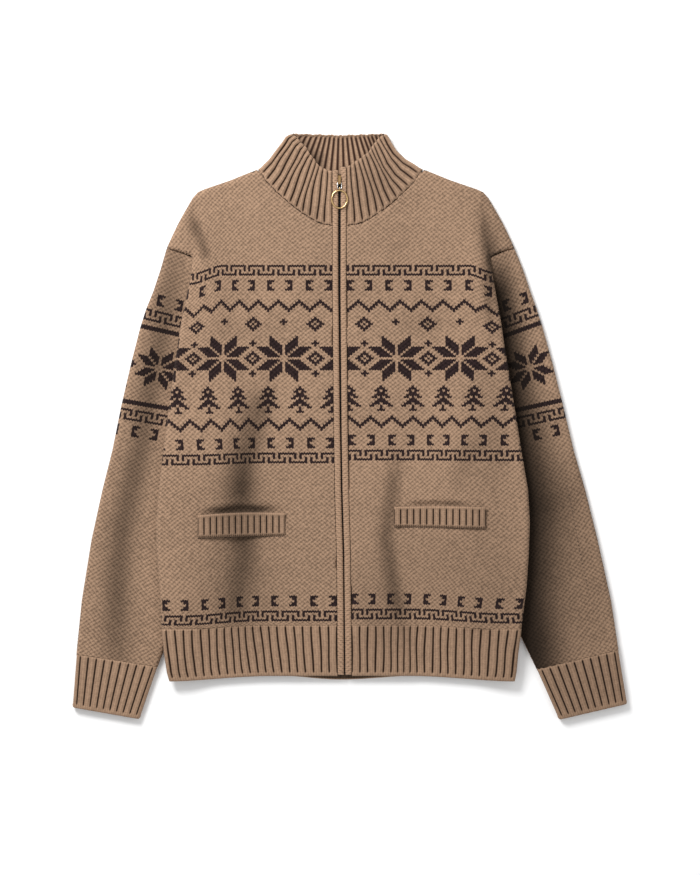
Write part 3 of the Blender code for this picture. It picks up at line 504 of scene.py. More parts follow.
def knitMaterial(name, base, look):
    # u counts stitches across and v counts rows, so that legs and rows fall on the mesh's own stitches
    m = Nodes(name)
    uv = m.add("ShaderNodeUVMap", uv_map="stitches").outputs[0]
    u, v = m.add("ShaderNodeSeparateXYZ").outputs[:2]
    m.link(uv, u.node.inputs[0])
    place = m.place()
    u = m.sum("ADD", u, m.shared(m.noise(place, *grain["driftAcross"]), look["drift"], 0.5))
    v = m.sum("SUBTRACT", v, m.shared(m.noise(place, *grain["driftUp"]), look["drift"], 0.5))
    legs = m.sum("ABSOLUTE", m.wave("SINE", u, look["legsEach"]))
    rows = m.sum("ABSOLUTE", m.wave("SINE", v))
    slant = m.wave("COSINE", m.sum("SUBTRACT", u, v))
    counter = m.wave("COSINE", m.sum("ADD", u, v))
    fibre, tone, fleck = (m.noise(place, *grain[key]) for key in ("fibre", "tone", "fleck"))
    # each stitch is a little lighter or darker than its neighbours
    cell = m.add("ShaderNodeTexWhiteNoise", noise_dimensions="2D")
    corner = m.add("ShaderNodeCombineXYZ")
    m.link(m.sum("FLOOR", u), corner.inputs[0])
    m.link(m.sum("FLOOR", v), corner.inputs[1])
    m.link(corner.outputs[0], cell.inputs["Vector"])
    height = m.sum("ADD", m.shared(legs, look["legs"]), m.shared(rows, look["rows"]))
    height = m.sum("ADD", height, m.shared(slant, look["slant"]))
    height = m.sum("ADD", height, m.shared(counter, look["counter"]))
    height = m.sum("ADD", height, m.shared(fibre, look["fibre"], 0.5))
    # Painted highlight and shade of the stitch relief: higher crowns are painted lighter and the pits between
    # them darker; the stitch, fleck and tone noises add tone that varies at random
    light = m.ramp(height, *look["range"])
    for source, share in ((cell.outputs[0], look["cell"]), (fleck, look["fleck"]), (tone, look["tone"])):
        light = m.sum("ADD", light, m.shared(source, share, 0.5))
    light = m.sum("ADD", light, 0.0, True)
    colour = m.mix(light, toned(base, look["shade"]), toned(base, look["light"]))
    if look["patterned"]:
        dark = m.mix(light, *(toned(yarns["dark"], share) for share in look["darkYarn"]))
        colour = m.mix(m.read("yarn"), colour, dark)
    else:
        # painted shade in the ribs: the flanks darken towards each groove, and the grooves darker still, in a
        # browner tint
        sunk = m.read("groove")
        flankShade = m.ramp(sunk, 0.0, look["flankShadeEnds"], (0.0, look["flankShade"]))
        colour = m.mix(flankShade, colour, toned(base, look["flankShadeTone"]))
        grooveShade = tuple(c * k * look["grooveShade"] for c, k in zip(base, look["grooveShadeTint"]))
        colour = m.mix(m.ramp(sunk, *look["groove"]), colour, grooveShade)
    # Painted shade: the colour darkens by the mesh's shade values, where less light falls
    most, left = look["inShade"]
    colour = m.mix(m.read(look["shadeBy"]), colour, m.mix(most, colour, toned(base, left)))
    m.finish(**{"Base Color": colour, "Sheen Weight": look["sheen"]}, **woolFinish)
    m.bump(height, look["relief"] / 1000)


knitLook = {
    "patterned": True,
    "darkYarn": (0.4, 1.3),  # the dark yarn at its darkest and its lightest, under the same painted shade and highlight of the relief
    "inShade": (0.95, 0.02),  # how much of the painted shade's colour is taken, and how light that is
    "shadeBy": "shade",
    "legs": 0.24,
    "legsEach": 2,
    "rows": 0.2,
    "drift": 0.9,
    "slant": 0.34,
    "counter": 0.25,
    "fibre": 0.7,
    "range": (-0.6, 1.0),  # heights painted as the yarn's darkest shade and its lightest highlight
    "cell": 0.3,
    "fleck": 1.3,
    "tone": 0.5,
    "shade": 0.6,
    "light": 1.4,
    "relief": 0.55,
    "sheen": 0.08,
}
ribLook = {
    "patterned": False,
    "shadeBy": "shade",
    "inShade": (0.95, 0.02),
    "legs": 0.4,
    "legsEach": 1,
    "rows": 0.12,
    "drift": 0.4,
    "slant": 0.0,
    "counter": 0.0,
    "fibre": 0.8,
    "range": (-0.25, 0.75),
    "cell": 0.22,
    "fleck": 1.3,
    "tone": 0.4,
    "shade": 0.74,
    "light": 1.32,
    "relief": 0.4,
    "sheen": 0.08,
    # depths of a groove between which its painted shade grows from none to full
    "groove": (0.16, 0.92),
    "grooveShade": 0.04,
    "grooveShadeTint": (1.4, 0.95, 0.9),
    "flankShade": 0.22,
    "flankShadeEnds": 0.4,  # depth of a groove where the painted shade of its flank is at its darkest
    "flankShadeTone": 0.12,
}
bandLook = {
    **ribLook,
    "legsEach": 2,
    "legs": 0.3,
    "rows": 0.55,
    "slant": 0.3,
    "drift": 0.2,
    "shade": 0.62,
    "light": 1.42,
    "relief": 0.6,
}
collarLook = {**ribLook, "groove": (0.2, 1.0), "grooveShade": 0.07, "flankShade": 0.34, "shade": 0.72, "light": 1.36}
knitMaterial("bandKnit", yarns["rib"], bandLook)
# The collar's copies of the rib yarn are painted lighter, its inner face lighter still, as painted light; the
# inner face reads its own painted shade
knitMaterial("collarKnit", toned(yarns["rib"], 1.1), collarLook)
knitMaterial("collarInside", toned(yarns["rib"], 1.16), {**collarLook, "shadeBy": "innerShade"})
knitMaterial("patternKnit", yarns["tan"], knitLook)
knitMaterial("ribKnit", yarns["rib"], ribLook)
# The hems' inner faces take a darker copy of the rib yarn, as painted shade
knitMaterial("ribInside", toned(yarns["rib"], 0.3), ribLook)

# Colour and roughness of each metal
metals = {
    "ringBrass": ((0.80, 0.56, 0.27), 0.2),
    "sliderBrass": ((0.38, 0.24, 0.11), 0.34),
    "linkNickel": ((0.86, 0.85, 0.83), 0.16),
    "toothMetal": ((0.05, 0.042, 0.038), 0.45),
}
metalWear = {"grain": (400.0, 4.0, 0.6), "dulls": 0.14, "darkens": 0.8}


def metalMaterial(name):
    m = Nodes(name)
    colour, rough = metals[name]
    place = m.place()
    wear = m.noise(place, *metalWear["grain"])
    worn = m.mix(m.ramp(wear, 0.35, 0.7), toned(colour, metalWear["darkens"]), colour)
    dull = m.ramp(wear, 0.3, 0.8, (rough, rough + metalWear["dulls"]))
    m.finish(**{"Base Color": worn, "Metallic": 1.0, "Roughness": dull})
    m.bump(m.noise(place, 2500.0, 2.0), 0.00002, 0.4)


for name in metals:
    metalMaterial(name)


def tapeMaterial():
    m = Nodes("zipTape")
    split = m.add("ShaderNodeSeparateXYZ")
    m.link(m.place(), split.inputs[0])
    # the weave's threads, as turns to a metre
    across = m.sum("SINE", m.sum("MULTIPLY", split.outputs[0], 7000.0))
    up = m.sum("SINE", m.sum("MULTIPLY", split.outputs[1], 5000.0))
    weave = m.sum("MULTIPLY", across, up)
    colour = m.mix(m.ramp(weave, -1, 1), yarns["tapeLow"], yarns["tapeHigh"])
    m.finish(**{"Base Color": colour, "Roughness": 0.9})
    m.bump(weave, 0.00012, 0.7)


tapeMaterial()
print("materials ready")

# Where the zip's middle line runs, as (height, x)
zipRun = [(4, 5.7), (65, 5.1), (166, 4.3), (255, 1.6), (340, 0.4), (430, -0.6), (520, -1.4), (686, -1.4)]
panels = {
    "rows": 216,
    "backRows": 218,
    "firstTree": 12,  # stitch column of the first conifer from the zip
    "edge": 9.8,  # from the zip's line to a front's first stitch
    "columns": 72,
    "ridge": 0.5,  # how far the middle of a stitch column stands up
    "valley": 0.46,  # how far a stitch's middle hangs below its ends, in rows
    "facetBlur": (7, 4),
    "unevenness": 0.12,
}


# How far the rows sink near the zip and how much more at the side fold, by height
rowSink = {
    "right": {
        "zip": [(71.2, 0), (80, 2.5), (110, 2.7), (200, 3.5), (330, 4), (420, 0)],
        "side": [(71.2, 4.5), (90, 6), (200, 3), (330, 2.7), (420, 0)],
        "crease": (13, 158, 44),  # how far beside the shoulder, from where across, and over what width
    },
    "left": {
        "zip": [(71.2, 0)],
        "side": [(71.2, 4.5), (110, 6), (200, 3), (330, 0)],
        "crease": (10, 172, 34),
    },
    "creaseAt": (540, 70),  # height of that crease's middle, and its half height
}
# Where stitches lie closer in plan because the cloth stands steeper, as (across, height, size across,
# size up, share)
squeezes = {
    "right": [(175, 570, 75, 140, 0.22), (136, 300, 26, 75, 0.25), (140, 105, 50, 60, 0.17)],
    "left": [
        (30, 540, 30, 60, 0.05),
        (140, 300, 36, 90, 0.18),
        (55, 95, 55, 60, 0.12),
        (150, 95, 40, 60, 0.16),
        (205, 200, 34, 150, -0.06),
    ],
}


def spread(spots, x, y):
    # The sum of soft humps, each given as (x, y, size across, size up, share)
    return sum(share * bell(x, y, (left, up), (wide, high)) for left, up, wide, high, share in spots)


def rowDrop(side, across, height):
    # Rows sink towards the crease beside the shoulder, and towards the hem's corner
    sink = rowSink[side]
    middle, reach = rowSink["creaseAt"]
    near = np.exp(-(((height - middle) / reach) ** 2))
    most, start, wide = sink["crease"]
    crease = most * smoothStep((across - start) / wide)
    outwards = smoothStep((across - 100) / 110)
    return crease * near + table(sink["zip"], height) + table(sink["side"], height) * outwards


def acrossBy(side, guide, start, pitch):
    # Where each half column lies, stepping outwards by a stitch's width less its squeeze
    across = np.empty_like(guide)
    across[:, 0] = start
    for column in range(1, guide.shape[1]):
        here = across[:, column - 1]
        across[:, column] = here + pitch / 2 * (1 - spread(squeezes[side], here, guide[:, column]))
    return across


# Creases of the laid cloth: points along each, its half width, and how far it sinks
creases = {
    "rightArmhole": {"points": [(-197, 650), (-203, 590), (-209, 524), (-212, 455)], "wide": 8, "deep": 1.4},
    "rightCap": {"points": [(-201, 625), (-190, 597), (-181, 572), (-172, 560)], "wide": 8, "deep": 4.2},
    "leftArmhole": {"points": [(192, 650), (197, 590), (201, 524), (206, 455)], "wide": 8, "deep": 4.0},
    "rightWaist": {"points": [(-98, 405), (-114, 345), (-130, 285), (-138, 215)], "wide": 23, "deep": 4.8},
    "rightPocket": {"points": [(-126, 222), (-132, 160), (-142, 105), (-149, 50)], "wide": 24, "deep": 4.0},
    "leftPocket": {"points": [(84, 320), (74, 267), (62, 190), (72, 120), (90, 50)], "wide": 13, "deep": 4.2},
    "leftWaist": {"points": [(186, 330), (166, 280), (150, 235)], "wide": 15, "deep": 2.2},
    "rightChest": {"points": [(-178, 470), (-120, 462), (-62, 476)], "wide": 16, "deep": 1.4},
    "leftChest": {"points": [(170, 468), (118, 480), (60, 470)], "wide": 16, "deep": 1.4},
    "rightSwell": {"points": [(-90, 330), (-82, 240), (-86, 120)], "wide": 24, "deep": -1.6},
    "rightOpening": {
        "points": [(-74, 225), (-102, 227), (-148, 226.4), (-190, 222.5)],
        "wide": 5.2,
        "deep": 5.0,
    },
    "leftOpening": {"points": [(88, 233.5), (128, 235), (176, 233.5)], "wide": 3, "deep": 4},
    "leftSwell": {"points": [(118, 330), (112, 200), (124, 90)], "wide": 26, "deep": -1.6},
    "rightEdge": {"points": [(-206, 400), (-214, 250), (-222, 90)], "wide": 14, "deep": -1.0},
    "leftEdge": {"points": [(200, 400), (212, 250), (224, 90)], "wide": 14, "deep": -1.0},
}


def creaseRise(x, y, look):
    # A soft trough or ridge along a line, fading out at its ends
    points = np.array(look["points"], float)
    lengths = np.linalg.norm(np.diff(points, axis=0), axis=1)
    before = np.concatenate([[0], np.cumsum(lengths)])
    best, place = np.full(x.shape, 1e9), np.zeros(x.shape)
    for k, length in enumerate(lengths):
        way = (points[k + 1] - points[k]) / length
        t = np.clip((x - points[k][0]) * way[0] + (y - points[k][1]) * way[1], 0, length)
        off = np.hypot(x - points[k][0] - way[0] * t, y - points[k][1] - way[1] * t)
        place = np.where(off < best, before[k] + t, place)
        best = np.minimum(best, off)
    share = place / before[-1]
    ends = smoothStep(share / 0.25) * smoothStep((1 - share) / 0.25)
    return -look["deep"] * (0.25 + 0.75 * ends) * np.exp(-((best / look["wide"]) ** 2))


def clothFolds(x, y):
    return sum(creaseRise(x, y, look) for look in creases.values())


# Broad patches of painted shade, where the light falls off over the cloth, as (x, y, size across, size up,
# share)
shadePatches = {
    "body": [
        (-138, 236, 38, 56, 0.3),
        (-118, 126, 34, 92, 0.24),
        (-172, 122, 40, 84, 0.1),
        (0, 610, 260, 110, 0.08),
        (56, 70, 40, 70, 0.2),
        (122, 150, 90, 62, 0.12),
        (204, 110, 36, 150, 0.18),
        (200, 318, 22, 80, 0.2),
        (206, 572, 12, 34, 0.5),
    ],
    "collar": [(48, 668, 42, 46, 0.26), (-58, 652, 44, 46, 0.12), (-40, 628, 30, 18, 0.12)],
    "insideCollar": [(-34, 698, 14, 15, 0.7), (-50, 718, 10, 16, 0.35), (52, 716, 10, 16, 0.2)],
    "cuffs": [(330, 0, 90, 90, 0.2)],
}


def paintedShadeAt(x, y, place):
    return spread(shadePatches[place], x, y)


# How the painted shade in the creases grows with their depth
creaseShade = {
    "fullAt": 5.2,  # depth that gives the full shade
    "power": 1.3,
    "share": 0.62,
    "most": 0.85,
}


def foldShade(x, y):
    # Painted shade on the floor of each crease, where less light reaches, with the broad patches of painted
    # shade added
    deep = np.clip(-clothFolds(x, y) / creaseShade["fullAt"], 0, 1) ** creaseShade["power"]
    return np.clip(deep * creaseShade["share"] + paintedShadeAt(x, y, "body"), 0, creaseShade["most"])


def stitchPlan(rows, columns):
    # Stitch coordinates of the points: two columns of points to a stitch, the middle one hanging lower
    row, half = np.meshgrid(np.arange(rows + 1), np.arange(2 * columns + 1), indexing="ij")
    return half / 2, row.astype(float), (half % 2) == 1


def shellOn(node, plan, uv, middle, yarn, folds=None, fromBelow=False, query=0.0, reach=8):
    # A knitted skin over a node's face: plan is rows x columns x 2. Points off the node go to its rim, and
    # query is the height from which they look for it
    tree = cadTree(node)
    rows, columns = plan.shape[:2]
    height = dropOn(tree, plan, fromBelow)
    inside = ~np.isnan(height)
    depth = insideBy(inside, reach)
    blur = blurred(np.nan_to_num(height), inside, *panels["facetBlur"])
    share = smoothStep((depth - 2) / (reach - 3))
    height = np.where(inside, height + (blur - height) * share, query)
    near = smoothStep((depth - 1) / 3)
    if not fromBelow:
        height = height + near * np.where(middle, panels["ridge"], 0.0)
        height = height + near * rng.normal(0, panels["unevenness"], height.shape)
        if folds is not None:
            height = height + smoothStep((depth - 2) / 6) * folds(plan[..., 0], plan[..., 1])
    else:
        height = height + near * np.where(middle, 0.0, panels["ridge"])
    points = np.concatenate([plan, height[..., None]], axis=-1)
    cellIn = inside[:-1, :-1] | inside[:-1, 1:] | inside[1:, 1:] | inside[1:, :-1]
    used = np.zeros(inside.shape, bool)
    used[:-1, :-1] |= cellIn
    used[:-1, 1:] |= cellIn
    used[1:, 1:] |= cellIn
    used[1:, :-1] |= cellIn
    rim = used & ~inside
    points[rim] = nearestOn(tree, points[rim])
    keep = cellIn.reshape(-1)
    quads = gridQuads(rows, columns, keep)
    cells = np.repeat(yarn, 2, axis=1)[: rows - 1, : columns - 1]
    return points.reshape(-1, 3), quads, uv.reshape(-1, 2), cells.reshape(-1)[keep].astype(float)


def zipEdge(side, height):
    # Where a front, its hem and its half of the collar begin beside the zip
    return panels["edge"] + garment["sides"][side] * table(zipRun, height)


def bodyPlan(side, rows, columns):
    u, v, middle = stitchPlan(rows, columns)
    sign = garment["sides"][side]
    guide = garment["hemTop"] + v * garment["stitchHigh"]
    across = acrossBy(side, guide, zipEdge(side, guide[:, 0]), garment["stitchWide"])
    y = guide - np.where(middle, panels["valley"] * garment["stitchHigh"], 0.0) * (v > 0)
    y = y - rowDrop(side, across, guide)
    return np.stack([sign * across, y], axis=-1), np.stack([sign * u, v], axis=-1), middle


def makeFront(side):
    plan, uv, middle = bodyPlan(side, panels["rows"], panels["columns"])
    chart = frontChart(panels["rows"], panels["columns"], panels["firstTree"])
    node = "front_" + side
    points, quads, uvs, yarn = shellOn(node, plan, uv, middle, chart, clothFolds)
    quads = turnedOut(quads, points, True)
    # painted shade of the creases and broad patches
    shades = foldShade(plan[..., 0], plan[..., 1])
    made = meshFrom("front" + side.capitalize(), points, quads, "patternKnit", uvs, yarn, shade=shades)
    dress(made, node)


makeFront("right")
makeFront("left")
print("fronts knitted")


def makeBack():
    # One sheet from side to side, seen from below; its bands go on round from the fronts
    rows, half = panels["backRows"], panels["columns"]
    u, v, middle = stitchPlan(rows, 2 * half)
    guide = garment["hemTop"] + v * garment["stitchHigh"]
    x = (u - half) * garment["stitchWide"]
    y = guide - np.where(middle, panels["valley"] * garment["stitchHigh"], 0.0) * (v > 0)
    toLeft = smoothStep((x + 70) / 140)
    y = y - rowDrop("right", abs(x), guide) * (1 - toLeft) - rowDrop("left", abs(x), guide) * toLeft
    chart = frontChart(rows, half, None)
    chart = np.concatenate([chart[:, ::-1], chart], axis=1)
    plan = np.stack([x, y], axis=-1)
    uv = np.stack([u, v], axis=-1)
    points, quads, uvs, yarn = shellOn("back", plan, uv, middle, chart, None, True, garment["edgeRadius"])
    quads = turnedOut(quads, points, False)
    made = meshFrom("backPanel", points, quads, "patternKnit", uvs, yarn)
    dress(made, "back")


# Sleeve middle lines as (height, across), and how steeply their rows rise outwards at stitch rows
sleeves = {
    "right": {
        "line": [(-60, 318), (23.3, 302), (510, 207.5), (640, 182)],
        "slope": [(0, 0.153), (114, 0.17), (147, 0.229), (186, 0.33)],
        "hook": 11,
        # where the cloth lies down beside the body, how far that reaches, how dark its painted shade is and
        # how deep
        "lee": {
            "edge": [(40, 236), (500, 205)],
            "reach": [(40, 8), (300, 10)],
            "low": 40,
            "high": 470,
            "dark": 0.0,
            "deep": 0.8,
        },
        "hollow": {
            "points": [
                *[(-208, 650), (-222, 562), (-230, 524), (-240, 470), (-255, 402), (-268, 321)],
                *[(-280, 267), (-294, 205), (-301, 146), (-303, 78), (-303, -60)],
            ],
            "wide": 21,
            "deep": 2.2,
        },
        "dark": 0.6,  # painted shade of the hollow along the sleeve
    },
    "left": {
        "line": [(-60, 340), (24.3, 320.6), (510, 206.4), (640, 176)],
        "slope": [(0, 0.244), (114, 0.213), (147, 0.371), (186, 0.44)],
        "hook": 13,
        "lee": {
            "edge": [(40, 250), (110, 241), (230, 243), (500, 212), (570, 205)],
            "reach": [(40, 56), (110, 60), (240, 60), (420, 38), (560, 26)],
            "low": -50,
            "high": 606,
            "dark": 1.0,
            "deep": 4.4,
        },
        "hollow": {"points": [(300, 330), (322, 200), (340, 60), (346, -30)], "wide": 34, "deep": 1.0},
        "dark": 0.22,
    },
    "rows": 200,
    "columns": 32,  # on each side of the middle line
    "lowest": 4.0,  # no point sinks below this height
}


def sleeveDip(side, x, y):
    # How far the sleeve's cloth lies down beside the body, from 0 to 1
    look = sleeves[side]["lee"]
    edge = table(look["edge"], y)
    reach = table(look["reach"], y)
    near = np.exp(-((np.maximum(abs(x) - edge, 0) / np.maximum(reach, 1)) ** 3))
    return near * smoothStep((y - look["low"]) / 60) * smoothStep((look["high"] - y) / 90)


def makeSleeve(side):
    look = sleeves[side]
    sign = garment["sides"][side]
    rows, reach = sleeves["rows"], sleeves["columns"]
    u, v, middle = stitchPlan(rows, 2 * reach)
    start = look["line"][1][0]
    # the middle line is nearly straight, so its length is its height times a little
    lean = math.hypot(1, (look["line"][1][1] - look["line"][2][1]) / (look["line"][2][0] - start))
    row = v - np.where(middle, panels["valley"], 0.0)
    row[0] = 0
    height = start + 0.5 + row * garment["sleeveStitchHigh"] / lean
    across = table(look["line"], height)
    slope = table(look["slope"], v)
    size = np.hypot(1, slope)
    out = (reach - u) * garment["stitchWide"]
    plan = np.stack([sign * (across + out / size), height + out * slope / size], axis=-1)
    uv = np.stack([-sign * u, v], axis=-1)
    chart = sleeveChart(rows, 2 * reach, look["hook"])
    node = "sleeve_" + side
    parts = []
    dip = sleeveDip(side, plan[..., 0], plan[..., 1])
    hollow = -creaseRise(plan[..., 0], plan[..., 1], look["hollow"]) / look["hollow"]["deep"]
    # Painted shade: the strip beside the body and the hollow along the sleeve are darkened on the upper face,
    # the underside not
    shades = np.clip(dip * look["lee"]["dark"] + hollow * look["dark"], 0, 1)
    shades = np.concatenate([shades.ravel(), np.zeros(dip.size)])
    query = garment["edgeRadius"]
    for fromBelow in (False, True):
        points, quads, uvs, yarn = shellOn(node, plan, uv, middle, chart, None, fromBelow, query)
        if not fromBelow:
            sunk = look["lee"]["deep"] * dip + look["hollow"]["deep"] * hollow
            z = points[:, 2]
            points[:, 2] = np.maximum(z - sunk.ravel(), np.minimum(z, sleeves["lowest"]))
        parts.append((points, turnedOut(quads, points, not fromBelow), uvs, yarn))
    count = len(parts[0][0])
    points = np.concatenate([p[0] for p in parts])
    quads = np.concatenate([parts[0][1], parts[1][1] + count])
    # the two faces join along the outer fold, and meet in the seam under the arm
    outer = np.tile(out.reshape(-1) > 0, 2)
    uvs = np.concatenate([p[2] for p in parts])
    yarn = np.concatenate([p[3] for p in parts])
    name = "sleeve" + side.capitalize()
    made = meshFrom(name, points, quads, "patternKnit", uvs, yarn, outer, shade=shades)
    dress(made, node)


makeBack()
makeSleeve("right")
makeSleeve("left")
print("back and sleeves knitted")

# Ribbed pieces
ribs = {
    "hem": 21,
    "cuffFlat": 9,
    "collarFront": 11,
    "collarBack": 10.5,
    "welt": 14,
    "plump": {"hem": 2.9, "cuff": 2.7, "collar": 1.9, "welt": 2.4},  # lower is rounder across a rib
    "grooveFloor": 0.045,  # half width of a groove's dark bottom, in ribs
    "grooveDeep": 2.6,
    "wander": 0.7,
    "pressed": {"right": [(140, 60, 22, 60, 0.1)], "left": [(87, 40, 16, 80, 0.3)]},  # as the squeezes
    "plainRim": 0.052,  # share of a hem's height below the ends of its grooves
    "pointsPerRib": (0.0, 0.045, 0.09, 0.15, 0.28, 0.5, 0.72, 0.85, 0.91, 0.955),
}


def ribSteps(count):
    # Places along a ribbed stretch, counted in ribs and closer together at the grooves
    steps = [rib + part for rib in range(math.ceil(count)) for part in ribs["pointsPerRib"]]
    return np.array([step for step in steps if step < count] + [count])


def ribSink(steps, plump):
    # How deep the cloth lies below a rib's crest, from 0 to 1, for places counted in ribs
    part = np.mod(steps, 1.0)
    off = np.minimum(part, 1 - part)
    rise = np.maximum(off - ribs["grooveFloor"], 0) / (0.5 - ribs["grooveFloor"])
    side = 1 - np.sqrt(np.maximum(1 - (1 - rise) ** plump, 0.0))
    seam = 0.05 * np.exp(-(((off - 0.5) / 0.06) ** 2))
    return np.clip(side + seam, 0, 1)


def ribPlaces(steps, rows):
    # Places in stitches along one line of a ribbed piece, three to a rib
    return np.stack([steps * 3, np.full(len(steps), rows)], axis=-1)


def ribWander(steps, share):
    # Ribs drift a little from side to side as they run
    return ribs["wander"] * np.sin(steps * 1.7 + 2.6 * share) * math.sin(math.pi * share)


def ribFade(share):
    # Grooves end in a plain rim at the edge, and shallow out in the seam
    return smoothStep((share - ribs["plainRim"]) / 0.025) * (1 - smoothStep((share - 0.965) / 0.03))


def ribAcross(side, start, end, steps, height):
    # Where a row's ribs lie, closer together where the cloth stands steeply
    share = steps / steps[-1]
    across = start + (end - start) * share
    tight = spread(squeezes[side] + ribs["pressed"][side], across, height)
    grown = np.concatenate([[0], np.cumsum(np.diff(share) * (1 - (tight[1:] + tight[:-1]) / 2))])
    return start + (end - start) * grown / grown[-1]


def rolledRim(share, width):
    # How far an edge turns in near its end, from 0 to 1
    t = np.clip((share - (1 - width)) / width, 0, 1)
    return 1 - np.sqrt(np.maximum(1 - t**2, 0))


hem = {
    # where the side folds lie, as (height, across)
    "folds": {
        "right": [(-8, 229), (12, 234.5), (40, 238.3), (65, 240.7), (73, 240.9)],
        "left": [(-8, 234), (12, 237.5), (40, 240), (65, 243.5), (73, 244.2)],
    },
    "shares": np.concatenate([[0, 0.012, 0.03, 0.055], np.linspace(0.09, 1.0, 21)]),
    "roll": np.array([0.25, 0.5, 0.75, 1.0]),  # shares of the quarter turn round a side fold
    "rim": 0.07,  # share of the height that rolls in at the lower edge
    "rimDeep": 2.2,
    "clear": 0.8,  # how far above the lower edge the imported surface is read
    "backMeets": {"right": 95, "left": 120},  # across, where the back no longer shows below the front
}


def hemTopAt(side, across):
    return garment["hemTop"] - rowDrop(side, across, garment["hemTop"])


def hemBottom(side, across, onFront):
    # The front sags towards its corners, and the back shows below it in the middle
    corner = table(hem["folds"][side], 0)
    front = 2.6 - 6.8 * smoothStep((across / corner - 0.4) / 0.6)
    if onFront:
        return front
    return -2.8 + (front + 3.4) * smoothStep(across / hem["backMeets"][side])


def pastFold(values, more):
    # A line's values, and those of the quarter turn that it makes round the side fold
    return np.concatenate([values, more])


def makeFrontHem(side):
    sign = garment["sides"][side]
    tree = cadTree("hem_front_" + side, "front_" + side)
    steps = ribSteps(ribs["hem"])
    lines, uvs, grooves = [], [], []
    turns = np.radians(90 * hem["roll"])
    for share in hem["shares"]:
        guide = garment["hemTop"] * share
        fold = table(hem["folds"][side], guide) - garment["edgeRadius"]
        across = ribAcross(side, zipEdge(side, max(guide, 4)), fold, steps, guide)
        across[1:-1] += ribWander(steps[1:-1], share)
        height = hemBottom(side, across, True) * (1 - share) + hemTopAt(side, across) * share
        atCentre = np.interp(np.arange(ribs["hem"]) + 0.5, steps, across)
        centreY = np.interp(atCentre, across, height)
        centreY = np.maximum(centreY, hemBottom(side, atCentre, True) + hem["clear"])
        crest = dropOn(tree, np.stack([sign * atCentre, centreY], axis=-1))
        top = np.interp(across, atCentre, crest) + clothFolds(sign * across, height) * min(1.0, 4 * share)
        sink = ribSink(steps, ribs["plump"]["hem"]) * ribFade(share)
        grooves.append(pastFold(sink, 0 * turns))
        z = top - ribs["grooveDeep"] * sink - hem["rimDeep"] * rolledRim(1 - share, hem["rim"])
        # the cloth turns down round the fold
        across = pastFold(across, fold + garment["edgeRadius"] * np.sin(turns))
        height = pastFold(height, np.full(len(turns), height[-1]))
        z = pastFold(z, crest[-1] - 6.5 + 6.3 * np.cos(turns))
        lines.append(np.stack([sign * across, height, z], axis=-1))
        uvs.append(ribPlaces(pastFold(steps, ribs["hem"] + hem["roll"]), share * 22))
    # painted shade of the creases and broad patches
    shades = foldShade(*np.moveaxis(np.array(lines)[..., :2], -1, 0))
    made = gridMesh("hemFront" + side.capitalize(), lines, uvs, "ribKnit", groove=grooves, shade=shades)
    solidify(made, garment["clothThick"], "ribInside")
    dress(made, "hem_front_" + side)


def makeBackHem():
    tree = cadTree("hem_back", "back")
    steps = ribSteps(ribs["hem"])
    lines, uvs, grooves = [], [], []
    turns = np.radians(90 * hem["roll"])
    for share in hem["shares"]:
        line = []
        sink = ribSink(steps, ribs["plump"]["hem"]) * ribFade(share)
        halfSink = pastFold(sink, 0 * turns)
        grooves.append(np.concatenate([halfSink[::-1], halfSink[1:]]))
        for side in ("right", "left"):
            sign = garment["sides"][side]
            span = table(hem["folds"][side], garment["hemTop"] * share) - garment["edgeRadius"]
            across = span * steps / ribs["hem"]
            height = hemBottom(side, across, False) * (1 - share) + hemTopAt(side, across) * share
            inside = np.maximum(height, hemBottom(side, across, False) + hem["clear"])
            base = dropOn(tree, np.stack([sign * np.maximum(across, 0.5), inside], axis=-1), True)
            z = base + 1.7 * sink + 1.2 * rolledRim(1 - share, hem["rim"])
            across = pastFold(across, span + garment["edgeRadius"] * np.sin(turns))
            height = pastFold(height, np.full(len(turns), height[-1]))
            z = pastFold(z, base[-1] + garment["edgeRadius"] * (1 - np.cos(turns)))
            part = np.stack([sign * across, height, z], axis=-1)
            line.append(part[::-1] if side == "right" else part[1:])
        lines.append(np.concatenate(line))
        count = pastFold(steps, ribs["hem"] + hem["roll"])
        uvs.append(ribPlaces(np.concatenate([-count[::-1], count[1:]]), share * 22))
    made = gridMesh("hemBack", lines, uvs, "ribKnit", False, groove=grooves)
    solidify(made, garment["clothThick"], "ribInside")
    dress(made, "hem_back")


makeBackHem()
makeFrontHem("right")
makeFrontHem("left")
print("hems knitted")

# Corners of the cuffs at the seam and at the rim: outer x and y, inner x and y
cuffs = {
    "right": {"top": (357.1, 31.7, 247, 14.9), "end": (362.6, -39.8, 271.4, -55.8)},
    "left": {"top": (375.8, 37.8, 265.3, 10.8), "end": (387.8, -35.1, 295, -56.7)},
}


